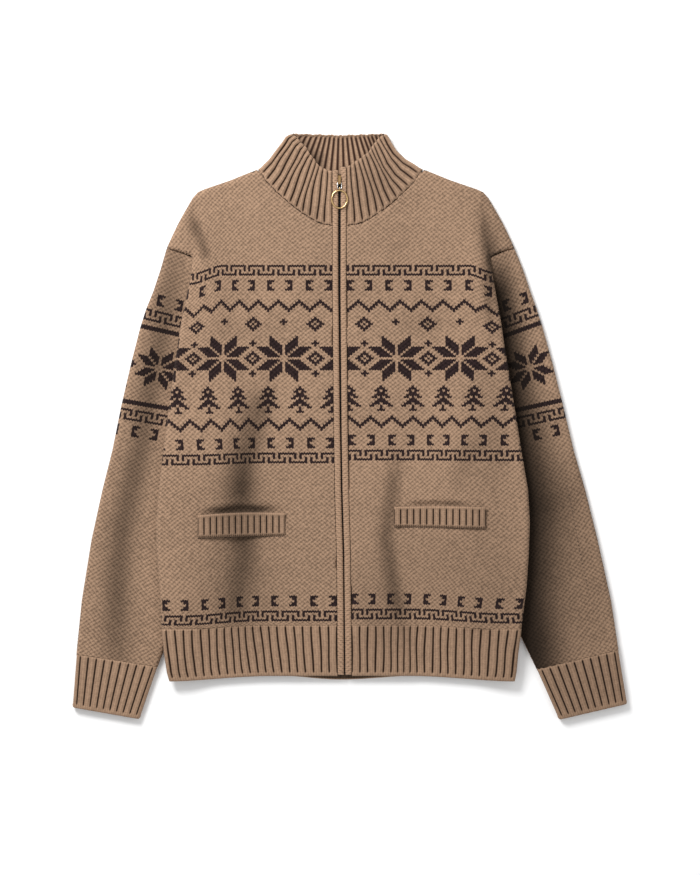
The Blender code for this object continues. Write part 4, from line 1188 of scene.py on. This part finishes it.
def makeCuff(side):
    sign = garment["sides"][side]
    top, end = (np.array(cuffs[side][k], float) for k in ("top", "end"))
    flat, radius = ribs["cuffFlat"], garment["edgeRadius"]
    # round the tube: the flat top, the inner fold, the underside and the outer fold, counted in ribs
    around = ribSteps(2 * flat + 4)[:-1]
    lines, uvs, grooves = [], [], []
    for share in hem["shares"]:
        edge = end + (top - end) * share
        outer, inner = edge[:2], edge[2:]
        width = np.linalg.norm(inner - outer)
        way = (inner - outer) / width
        run = width - 2 * radius
        line = []
        sinks = ribSink(around, ribs["plump"]["cuff"]) * ribFade(share)
        for s, sink in zip(around, sinks):
            if s < flat:
                place, turn, z = radius + run * s / flat, 0.0, 1.0
            elif s < flat + 2:
                turn = math.pi * (s - flat) / 2
                place, z = width - radius, math.cos(turn)
            elif s < 2 * flat + 2:
                place, turn, z = width - radius - run * (s - flat - 2) / flat, math.pi, -1.0
            else:
                turn = math.pi * (1 - (s - 2 * flat - 2) / 2)
                place, z = radius, math.cos(turn)
            size = radius - 2.1 * sink - 1.6 * float(rolledRim(1 - share, hem["rim"]))
            bulge = math.sin(turn) * size * (-1 if s >= 2 * flat + 2 else 1)
            spot = outer + way * (place + bulge)
            line.append((sign * spot[0], spot[1], radius + z * size))
        lines.append(line)
        grooves.append(sinks)
        uvs.append(ribPlaces(around, share * 25))
    rows, columns = np.array(lines).shape[:2]
    points, uv = np.array(lines).reshape(-1, 3), np.array(uvs).reshape(-1, 2)
    quads = gridQuads(rows, columns, None, True)
    lid = quads.reshape(rows - 1, columns, 4)[:, : 8 * flat].reshape(-1, 4)
    quads = turnedOut(quads, points, True, lid)
    # painted shade over the left cuff
    shades = paintedShadeAt(points[:, 0], points[:, 1], "cuffs")
    made = meshFrom("cuff" + side.capitalize(), points, quads, "ribKnit", uv, groove=grooves, shade=shades)
    solidify(made, garment["clothThick"])
    dress(made, "cuff_" + side)


makeCuff("right")
makeCuff("left")
print("cuffs knitted")

collar = {
    "base": [(28, 614.4), (45, 624), (63, 636.5), (77, 648.5), (90, 660.5), (101, 672.5)],
    "baseEnd": (104.3, 683),
    "foldBase": (109.2, 690.0),
    "foldTop": (64, 736.2),
    "backBase": [(68, 673), (0, 661)],
    "backTop": 734.3,
    "rim": {
        "right": [
            *[(8.5, 685.3), (22.3, 687.4), (31, 694.7), (37, 703.4)],
            *[(44.3, 716.9), (53.1, 728.5), (59.5, 733.4)],
        ],
        "left": [
            *[(8.5, 690.8), (15.5, 694.7), (25.9, 702), (36.2, 709.4)],
            *[(43.5, 718.2), (49.3, 727), (58.5, 733.2)],
        ],
    },
    "foldRibs": 2,
    "lap": 3.4,
    "thick": 2.2,
    # how far the side folds stand from a straight line, by the share of the way up
    "bow": {
        "right": [(0, 0), (0.25, -0.9), (0.5, 2.0), (0.75, 4.3), (0.9, 6.4), (1, 4.0)],
        "left": [(0, 0), (0.25, -9.1), (0.5, -10.1), (0.75, -6.1), (0.9, -3.0), (1, -1.2)],
    },
    "still": (0.35, 0.2),  # shares of the front and of the back that keep clear of the bow
    "shares": np.concatenate([np.linspace(0, 0.9, 19), [0.93, 0.955, 0.975, 0.99, 1.0]]),
}


def alongLine(points, share):
    # Point at a share of a line's length
    points = np.array(points, float)
    steps = lengthsAlong(points)
    at = np.clip(share, 0, 1) * steps[-1]
    return np.stack([np.interp(at, steps, points[:, k]) for k in range(2)], axis=-1)


def smoothLine(points, turns=3):
    # Rounds a line's corners by cutting them
    points = np.array(points, float)
    for _ in range(turns):
        a, b = points[:-1], points[1:]
        cut = np.stack([a * 0.75 + b * 0.25, a * 0.25 + b * 0.75], axis=1).reshape(-1, 2)
        points = np.concatenate([points[:1], cut, points[-1:]])
    return points


def collarHalf(side):
    # One half from the zip to the middle of the back: base and rim in plan, how far the cloth has turned,
    # the count of ribs, and how far it follows the bow of the folds
    base = np.array(collar["base"], float) + np.array([-0.24, 0.32])
    base = np.concatenate([[[zipEdge(side, 612) - 0.3, 611.9]], base, [collar["baseEnd"]]])
    rim = np.array(collar["rim"][side], float)
    rim[0, 0] = zipEdge(side, 686) - 0.3
    base, rim = smoothLine(base), smoothLine(rim)
    front = ribSteps(ribs["collarFront"])
    share = front / ribs["collarFront"]
    lower, upper = alongLine(base, share), alongLine(rim, share)
    follow = smoothStep((share - collar["still"][0]) / (1 - collar["still"][0]))
    turn, count = np.zeros(len(front)), front
    foldSteps = ribSteps(collar["foldRibs"])[1:-1]
    t = foldSteps / collar["foldRibs"]
    start, end = base[-1], np.array(collar["foldBase"]) + np.array([-4.8, -1.8])
    topStart, topEnd = rim[-1], np.array(collar["foldTop"]) + np.array([-6.0, 0.0])
    out = np.sin(math.pi * t)[:, None]
    foldLow = start + (end - start) * t[:, None]
    foldLow = foldLow * (1 - out) + np.array(collar["foldBase"]) * out
    foldHigh = topStart + (topEnd - topStart) * t[:, None]
    foldHigh = foldHigh * (1 - out) + np.array(collar["foldTop"]) * out
    backBase = np.concatenate([[end], collar["backBase"]])
    backRim = np.array([topEnd, (0, collar["backTop"])])
    back = ribSteps(ribs["collarBack"])
    back = back[back > 0]
    share = np.concatenate([[0.0], back]) / ribs["collarBack"]
    follow = np.concatenate([follow, np.ones(len(t)), smoothStep(1 - share / (1 - 2 * collar["still"][1]))])
    lower = np.concatenate([lower, foldLow, alongLine(backBase, share)])
    upper = np.concatenate([upper, foldHigh, alongLine(backRim, share)])
    turn = np.concatenate([turn, math.pi * t, np.full(len(share), math.pi)])
    backCount = ribs["collarFront"] + collar["foldRibs"] + np.concatenate([[0.0], back])
    count = np.concatenate([count, ribs["collarFront"] + foldSteps, backCount])
    return lower, upper, turn, count, follow


def makeCollar():
    halves = []
    for side in ("right", "left"):
        sign = garment["sides"][side]
        lower, upper, turn, count, follow = collarHalf(side)
        radius = garment["bodyDepth"] / 2
        lines, uvs, grooves = [], [], []
        for share in collar["shares"]:
            plan = lower + (upper - lower) * share
            plan[:, 0] += table(collar["bow"][side], share) * follow
            # at its foot the fold laps the corner of the yoke
            atFold = np.exp(-(((count - ribs["collarFront"] - 1) / 1.6) ** 2))
            lap = collar["lap"] * (1 - smoothStep(share / 0.12)) * atFold
            plan += np.array([0.62, -0.78]) * lap[:, None]
            # the ribs bow a little between the neck seam and the rim
            run = upper - lower
            square = np.stack([-run[:, 1], run[:, 0]], axis=-1) / np.linalg.norm(run, axis=1)[:, None]
            bow = 1.6 * math.sin(math.pi * share) * np.sin(np.pi * np.clip(count / ribs["collarFront"], 0, 1))
            plan = plan - square * bow[:, None] * np.where(turn > 0, 0, 1)[:, None]
            sink = ribSink(count, ribs["plump"]["collar"]) * smoothStep((share - 0.015) / 0.03)
            sink = sink * (1 - 0.45 * smoothStep((share - 0.93) / 0.05))
            grooves.append(np.where(turn > 3.1, sink**2.2, sink))
            deep = 3.2 * sink + 1.9 * rolledRim(share, 0.06)
            size = radius - deep
            swell = 0.8 * math.sin(math.pi * share) * np.where(turn == 0, 1, 0)
            wander = 1.3 * np.sin(count * 1.9 + 3.2 * share) * math.sin(math.pi * share)
            plan[:, 0] += wander * (turn == 0) * smoothStep(count / 1.2)
            scallop = 1.7 * sink * smoothStep((share - 0.9) / 0.1)
            scallop = scallop + 0.5 * np.sin(count * 2.3) * smoothStep((share - 0.7) / 0.3)
            plan = plan - run / np.linalg.norm(run, axis=1)[:, None] * scallop[:, None]
            inward = np.array([-0.7071, -0.7071])
            plan = plan + inward * (np.sin(turn) * deep)[:, None]
            z = radius + np.cos(turn) * size + swell
            lines.append(np.stack([sign * plan[:, 0], plan[:, 1], z], axis=-1))
            uvs.append(np.stack([sign * count * 3, np.full(len(count), share * 26)], axis=-1))
        halves.append((np.array(lines), np.array(uvs), np.array(grooves)))
    right, left = halves
    points, uv, groove = (np.concatenate([a, b[:, ::-1][:, 1:]], axis=1) for a, b in zip(right, left))
    rows, columns = points.shape[:2]
    quads = gridQuads(rows, columns)
    points = points.reshape(-1, 3)
    lid = quads.reshape(rows - 1, columns - 1, 4)[:, :80].reshape(-1, 4)
    quads = turnedOut(quads, points, True, lid)
    front = smoothStep((points[:, 2] - garment["bodyDepth"] / 2) / 4)
    # painted shade on the collar's front face, none on its back
    shades = paintedShadeAt(points[:, 0], points[:, 1], "collar") * front
    made = meshFrom("collarRib", points, quads, "collarKnit", uv.reshape(-1, 2), groove=groove, shade=shades)
    # the inner face has a painted shade of its own
    spots = np.array([v.co for v in made.data.vertices]) * 1000 - garment["offset"]
    setValues(made.data, "innerShade", paintedShadeAt(spots[:, 0], spots[:, 1], "insideCollar"))
    solidify(made, collar["thick"], "collarInside")
    dress(made, "collar")


makeCollar()
print("collar knitted")

# Each welt's ends across, and its top and bottom at the inner and the outer end
welts = {
    "right": {"inner": 74.4, "outer": 191.8, "top": (223, 220.4), "bottom": (192.5, 189.8), "bow": 2.0},
    "left": {"inner": 72.4, "outer": 195.6, "top": (231.3, 231.3), "bottom": (204.8, 202.2), "bow": 1.0},
    "thick": 2.0,
    "shares": np.concatenate([[0, 0.05, 0.1, 0.15], np.linspace(0.2, 0.8, 7), [0.86, 0.9, 0.95, 0.98, 1.0]]),
}


def makeWelt(side):
    look = welts[side]
    sign = garment["sides"][side]
    tree = cadTree("pocket_welt_" + side)
    steps = ribSteps(ribs["welt"])
    mark = steps / ribs["welt"]
    centres = (np.arange(ribs["welt"]) + 0.5) / ribs["welt"]
    lines, uvs, grooves = [], [], []
    for share in welts["shares"]:
        across = look["inner"] + (look["outer"] - look["inner"]) * mark
        low = look["bottom"][0] + (look["bottom"][1] - look["bottom"][0]) * mark
        high = look["top"][0] + (look["top"][1] - look["top"][0]) * mark + look["bow"] * np.sin(np.pi * mark)
        height = low + (high - low) * share
        at = look["inner"] + (look["outer"] - look["inner"]) * centres
        centreY = np.interp(at, across, low + (high - low) * min(max(share, 0.26), 0.93))
        crest = np.interp(across, at, dropOn(tree, np.stack([sign * at, centreY], axis=-1)))
        ends = 1 - smoothStep(np.minimum(mark, 1 - mark) / 0.02)
        sink = ribSink(steps, ribs["plump"]["welt"]) * smoothStep((share - 0.1) / 0.05)
        sink = sink * (1 - smoothStep((share - 0.84) / 0.05))
        # the sewn seam at the foot and its stitches read as a dark line, drawn in the grooves' painted shade
        seam = np.exp(-(((share - 0.06) / 0.035) ** 2)) * (0.6 + 0.4 * np.cos(steps * 6 * np.pi))
        grooves.append(np.maximum(sink, seam))
        rim = 0.7 * np.exp(-(((share - 0.93) / 0.05) ** 2)) - 1.8 * rolledRim(share, 0.07)
        z = crest + rim - 2.0 * sink - 2.2 * (1 - smoothStep(share / 0.12)) - 1.2 * ends
        lines.append(np.stack([sign * across, height, z], axis=-1))
        uvs.append(ribPlaces(steps, share * 10))
    # painted shade of the broad patches
    shades = paintedShadeAt(*np.moveaxis(np.array(lines)[..., :2], -1, 0), "body")
    made = gridMesh("pocketWelt" + side.capitalize(), lines, uvs, "ribKnit", groove=grooves, shade=shades)
    solidify(made, welts["thick"])
    dress(made, "pocket_welt_" + side)


makeWelt("right")
makeWelt("left")
print("pocket welts knitted")

bands = {
    # half of the gap over the zip, and the height of the bands' underside, both by height
    "halfGap": [
        *[(4, 0.8), (166, 0.8), (255, 0.9), (340, 1.0), (430, 1.2), (520, 1.4)],
        *[(611, 1.5), (655, 1.6), (664, 2.1), (681, 2.1), (686, 1.4)],
    ],
    "floor": [(4, 8.1), (655, 8.1), (664, 11), (681, 11), (686, 8.1)],
    "low": 4,
    "high": 686,
    "farEdge": 9.5,
    "crest": 13.9,
    "leftExtra": 4.4,
    "rowHigh": 2.9,
    "rowRelief": 0.45,
}


def makeBand(side):
    sign = garment["sides"][side]
    low = bands["low"]
    top = bands["high"] + (bands["leftExtra"] if side == "left" else 0)
    rows = 2 * int(round((top - low) / bands["rowHigh"]))
    turns = np.radians(np.linspace(180, 0, 13))
    lines, uvs = [], []
    for row, height in enumerate(np.linspace(low, top, rows + 1)):
        at = min(height, bands["high"])
        near = float(table(bands["halfGap"], at))
        floor = float(table(bands["floor"], at))
        far = bands["farEdge"]
        centre, half = (near + far) / 2, (far - near) / 2
        # the two stitch columns of a band hang in rows, each a small v
        relief = bands["rowRelief"] * math.cos(math.pi * row)
        end = min(height - low, top - height) / 2.5
        close = math.sqrt(max(1 - max(1 - end, 0) ** 2, 0.0))
        x = centre + half * (0.86 + 0.14 * close) * np.sign(np.cos(turns)) * abs(np.cos(turns)) ** 0.62
        rise = (bands["crest"] - floor) * (0.62 + 0.38 * close)
        crown = abs(np.sin(turns)) ** 0.55
        column = np.clip((x - near) / (far - near), 0, 1)
        shape = 0.22 * np.exp(-(((column - 0.5) / 0.06) ** 2))
        z = floor + (rise - relief * smoothStep(np.sin(turns) * 2) - shape * np.sin(turns)) * crown
        sway = 0.25 * math.sin(height / 31.0 + (0 if side == "left" else 2.0))
        placed = table(zipRun, at) + sign * (x + sway * np.sin(turns))
        lines.append(np.stack([placed, np.full(len(x), height), z], axis=-1))
        uvs.append(np.stack([column * 2, np.full(len(x), row / 2)], axis=-1))
    made = gridMesh("zipBand" + side.capitalize(), lines, uvs, "bandKnit")
    mend(made, fill=True)
    dress(made, "zip_band_" + side)


makeBand("right")
makeBand("left")
print("zip bands knitted")

zipper = {
    "tapeHalf": 11.0,
    "tapeLow": 6.7,
    "tapeHigh": 7.6,
    "toothPitch": 2.5,
    "toothSize": (1.25, 0.62, 0.55),  # half sizes across, along and off the tape
    "toothRise": 8.1,
    "toothShift": 0.45,
    "lowest": 6.0,
    "highest": 664.0,
}


def boxes(name, centres, size, matName):
    # Small blocks with chamfered upper edges, all in one mesh
    foot = [(-1, -1, -1), (1, -1, -1), (1, 1, -1), (-1, 1, -1)]
    top = [(-0.72, -0.6, 1), (0.72, -0.6, 1), (0.72, 0.6, 1), (-0.72, 0.6, 1)]
    block = np.array(foot + top, float) * np.array(size)
    sides = np.array([(3, 2, 1, 0), (4, 5, 6, 7), (0, 1, 5, 4), (1, 2, 6, 5), (2, 3, 7, 6), (3, 0, 4, 7)])
    points = (np.array(centres)[:, None, :] + block[None]).reshape(-1, 3)
    quads = (np.arange(len(centres))[:, None, None] * 8 + sides[None]).reshape(-1, 4)
    return meshFrom(name, points, quads, matName)


def makeZip():
    low, high = zipper["tapeLow"], zipper["tapeHigh"]
    heights = np.linspace(zipper["lowest"] - 1, zipper["highest"] + 16, 90)
    shares = (-1, -0.45, 0.45, 1)
    ring = [(x, low) for x in shares] + [(x, high) for x in reversed(shares)]
    lines = []
    for height in heights:
        centre = table(zipRun, height)
        lines.append([(centre + zipper["tapeHalf"] * x, height, z) for x, z in ring])
    quads = gridQuads(len(heights), len(ring), None, True)
    tape = meshFrom("zipTapes", np.array(lines).reshape(-1, 3), quads, "zipTape")
    mend(tape, fill=True, outward=True)
    tape.data.shade_flat()
    dress(tape, "zip_chain")
    count = int((zipper["highest"] - zipper["lowest"]) / zipper["toothPitch"])
    centres = []
    for tooth in range(count):
        height = zipper["lowest"] + tooth * zipper["toothPitch"]
        shift = zipper["toothShift"] * (1 if tooth % 2 else -1)
        centres.append((table(zipRun, height) + shift, height, zipper["toothRise"]))
    teeth = boxes("zipTeeth", centres, zipper["toothSize"], "toothMetal")
    teeth.data.shade_flat()
    dress(teeth, "zip_chain")


makeZip()
print("zip made")


# The thread's half sizes, how far it stands off the cloth, and how much its stitches vary
thread = {"size": (0.95, 0.42, 0.4), "lift": 0.15, "turns": 6, "grows": (0.85, 1.15)}
neckline = [(28, 613.4), (45, 623), (63, 635.5), (77, 647.5), (90, 659.5), (101, 671.5)]
# Lines of small sewn stitches: the pieces that each lies on, how far apart its stitches are, how they turn,
# and its points, or for the lines beside the zip the side and the heights between which they run
sewn = [
    (("frontRight",), 2.9, 0, (-1, 10, 609)),
    (("frontLeft",), 2.9, 0, (1, 10, 609)),
    (("frontRight", "collarRib"), 3.6, 90, [(-12, 611)] + [(-x, y) for x, y in neckline]),
    (("frontLeft", "collarRib"), 3.2, 20, [(9, 611)] + neckline),
    (("pocketWeltRight", "frontRight"), 2.9, 25, [(-75, 191.6), (-191.5, 188.9)]),
    (("pocketWeltLeft", "frontLeft"), 2.9, 25, [(73, 203.8), (195.2, 201.2)]),
    (("frontLeft", "sleeveLeft"), 3.4, 90, [(200.5, 570.4), (216, 578.5), (232, 584.4)]),
    (("frontRight", "sleeveRight"), 3.4, 90, [(-204, 575), (-219, 578), (-233, 578)]),
    (("sleeveRight",), 4.2, 0, [(-338, 150), (-347.6, 105), (-354, 60), (-356.4, 40)]),
    (("sleeveLeft",), 4.2, 0, [(306, 260), (314.2, 220), (323.3, 170), (334, 120)]),
]


def lineSpots(points, pitch):
    # Evenly spaced places along a line, with its direction at each
    if isinstance(points, tuple):
        side, low, high = points
        heights = np.arange(low, high, pitch, float)
        across = table(zipRun, heights) + side * (bands["farEdge"] + 0.2)
        return np.stack([across, heights], axis=-1), np.full(len(heights), 90.0)
    points = np.array(points, float)
    lengths = lengthsAlong(points)
    count = int(lengths[-1] / pitch)
    at = np.linspace(0, lengths[-1], count + 1)
    spots = np.stack([np.interp(at, lengths, points[:, k]) for k in range(2)], axis=-1)
    way = np.gradient(spots, axis=0)
    return spots, np.degrees(np.arctan2(way[:, 1], way[:, 0]))


def makeSewnLines():
    # Every stitch is a small eight-sided bead of thread, coloured dark as painted shade of the holes between
    # a seam's stitches
    turns = np.radians(np.arange(0, 360, 45))
    rings = ((-0.8, 0.55), (0, 1), (0.8, 0.55))
    corners = np.array([(math.cos(t) * size, math.sin(t) * size, z) for z, size in rings for t in turns])
    faces = gridQuads(3, 8, None, True)
    lids = np.array([[k, k + 1, 6 - k, 7 - k] for k in (0, 1, 2)])
    faces = np.concatenate([faces, lids[:, ::-1], lids + 16])
    points, quads = [], []
    for pieces, pitch, slant, line in sewn:
        spots, ways = lineSpots(line, pitch)
        height = dropOn(cadTree(*pieces), spots)
        for (x, y), way, z in zip(spots, ways, height):
            if np.isnan(z):
                continue
            turn = math.radians(way + slant + rng.normal(0, thread["turns"]))
            long, wide, high = np.array(thread["size"]) * rng.uniform(*thread["grows"])
            a, b = corners[:, 0] * long, corners[:, 1] * wide
            beadX = x + a * math.cos(turn) - b * math.sin(turn)
            beadY = y + a * math.sin(turn) + b * math.cos(turn)
            quads.append(faces + len(corners) * len(points))
            points.append(np.stack([beadX, beadY, z + thread["lift"] + corners[:, 2] * high], axis=-1))
    made = meshFrom("sewnStitches", np.concatenate(points), np.concatenate(quads), "sewingThread")
    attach(made, "garment")


# The thread's dark colour is painted shade of a seam's holes
def threadMaterial():
    m = Nodes("sewingThread")
    ply = m.noise(m.place(), 1500.0, 2.0)
    colour = m.mix(ply, toned(yarns["thread"], 0.6), toned(yarns["thread"], 1.6))
    m.finish(**{"Base Color": colour, "Roughness": 0.9})
    m.bump(ply, 0.0001, 0.6)


threadMaterial()
makeSewnLines()
print("sewn lines laid")


def dressSlider():
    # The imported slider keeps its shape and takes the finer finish
    made = nodes["zip_slider"]
    made.data.materials.clear()
    made.data.materials.append(bpy.data.materials["sliderBrass"])


dressSlider()

pull = {
    "linkPivot": (-1.4, 668.2, 14.9),
    "linkLong": 7.4,
    "linkWide": 5.6,
    "linkCorner": 1.3,
    "linkWire": 0.6,
    "ringPivot": (-1.4, 660.824, 15.5),
    "ringHalf": (10.5, 11.9),
    "ringWire": 1.1,
    "ringBelow": 14.65,
    "eyeRadius": 1.55,
    "eyeWire": 0.6,
}


def makeWire(name, centres, radius, matName, sides=20):
    # A closed round wire through its centre points
    centres = np.array(centres, float)
    count = len(centres)
    way = np.roll(centres, -1, axis=0) - np.roll(centres, 1, axis=0)
    way /= np.linalg.norm(way, axis=1)[:, None]
    plane = np.linalg.svd(centres - centres.mean(axis=0))[2][2]
    out = np.cross(way, plane)
    turns = np.linspace(0, 2 * math.pi, sides, endpoint=False)
    circle = np.cos(turns)[None, :, None] * out[:, None] + np.sin(turns)[None, :, None] * plane
    rings = centres[:, None] + radius * circle
    index = np.arange(count * sides).reshape(count, sides)
    ahead, over = np.roll(index, -1, axis=0), np.roll(index, -1, axis=1)
    quads = np.stack([index, over, np.roll(ahead, -1, axis=1), ahead], axis=-1).reshape(-1, 4)
    made = meshFrom(name, rings.reshape(-1, 3), quads, matName)
    mend(made, outward=True)
    return made


def roundedLoop(centre, half, corner, steps=6):
    # Points of a rounded rectangle
    points = []
    for quarter in range(4):
        a = math.pi / 2 * quarter
        cx = (half[0] - corner) * (1 if quarter in (0, 3) else -1)
        cy = (half[1] - corner) * (1 if quarter in (0, 1) else -1)
        for t in np.linspace(0, math.pi / 2, steps + 1):
            x = centre[0] + cx + corner * math.cos(a + t)
            points.append((x, centre[1] + cy + corner * math.sin(a + t)))
    return points


def makeLink():
    px, py, pz = pull["linkPivot"]
    run = [(pull["ringPivot"][k] - pull["linkPivot"][k]) / pull["linkLong"] for k in (1, 2)]
    half = pull["linkLong"] / 2
    loop = roundedLoop((0, half), (pull["linkWide"] / 2, half), pull["linkCorner"])
    centres = [(px + x, py + down * run[0], pz + down * run[1]) for x, down in loop]
    made = makeWire("pullLink", centres, pull["linkWire"], "linkNickel")
    dress(made, "pull_link", "link")


def makeRing():
    px, py, pz = pull["ringPivot"]
    turns = np.linspace(0, 2 * math.pi, 96, endpoint=False)
    wide, high = pull["ringHalf"]
    centres = [(px + wide * math.sin(t), py - pull["ringBelow"] + high * math.cos(t), pz) for t in turns]
    ring = makeWire("pullRing", centres, pull["ringWire"], "ringBrass", 24)
    turns = turns[::3]
    size = pull["eyeRadius"]
    centres = [(px, py + size * math.sin(t), pz + size * math.cos(t)) for t in turns]
    eye = makeWire("pullRingEye", centres, pull["eyeWire"], "ringBrass")
    dress(ring, "pull_ring", "ring")
    dress(eye, "pull_ring", "ring")


makeLink()
makeRing()
print("slider, link and ring made")

# The pale table, soft light and camera
studio = {
    "ground": -0.0002,
    "floorHalf": 6.0,
    "floorColour": (0.99, 0.99, 0.99),
    "world": 0.62,
    "key": {"at": (-0.95, 1.3, 1.5), "size": 1.0, "power": 54.0},
    "fill": {"at": (1.6, -0.6, 1.8), "size": 2.2, "power": 4.0},
    "camera": (0.0002, -0.015, 4.012),
    "lens": 121.9,
}


def makeFloor():
    mesh = bpy.data.meshes.new("table")
    half, z = studio["floorHalf"], studio["ground"]
    corners = [(-half, -half, z), (half, -half, z), (half, half, z), (-half, half, z)]
    mesh.from_pydata(corners, [], [(0, 1, 2, 3)])
    floor = bpy.data.objects.new("table", mesh)
    bpy.context.scene.collection.objects.link(floor)
    m = Nodes("paleTable")
    colour = studio["floorColour"]
    mottled = m.mix(m.noise(m.place(), 40.0, 3.0), toned(colour, 0.985), colour)
    m.finish(**{"Base Color": mottled, "Roughness": 0.9, "Specular IOR Level": 0.1})
    mesh.materials.append(m.material)


def makeLamp(name):
    look = studio[name]
    light = bpy.data.lights.new(name, "AREA")
    light.shape = "DISK"
    light.size = look["size"]
    light.energy = look["power"]
    lamp = bpy.data.objects.new(name, light)
    lamp.location = look["at"]
    lamp.rotation_euler = (-Vector(look["at"])).to_track_quat("-Z", "Y").to_euler()
    bpy.context.scene.collection.objects.link(lamp)


def makeCamera():
    lens = bpy.data.cameras.new("camera")
    lens.lens = studio["lens"]
    lens.clip_end = 50
    camera = bpy.data.objects.new("camera", lens)
    camera.location = studio["camera"]
    bpy.context.scene.collection.objects.link(camera)
    bpy.context.scene.camera = camera


def makeWorld():
    world = bpy.data.worlds.new("studio")
    world.use_nodes = True
    world.node_tree.nodes["Background"].inputs[0].default_value = (1, 1, 1, 1)
    world.node_tree.nodes["Background"].inputs[1].default_value = studio["world"]
    bpy.context.scene.world = world
    bpy.context.scene.view_settings.view_transform = "Standard"
    bpy.context.scene.view_settings.look = "None"


makeFloor()
makeLamp("key")
makeLamp("fill")
makeCamera()
makeWorld()
print("table, light and camera set")
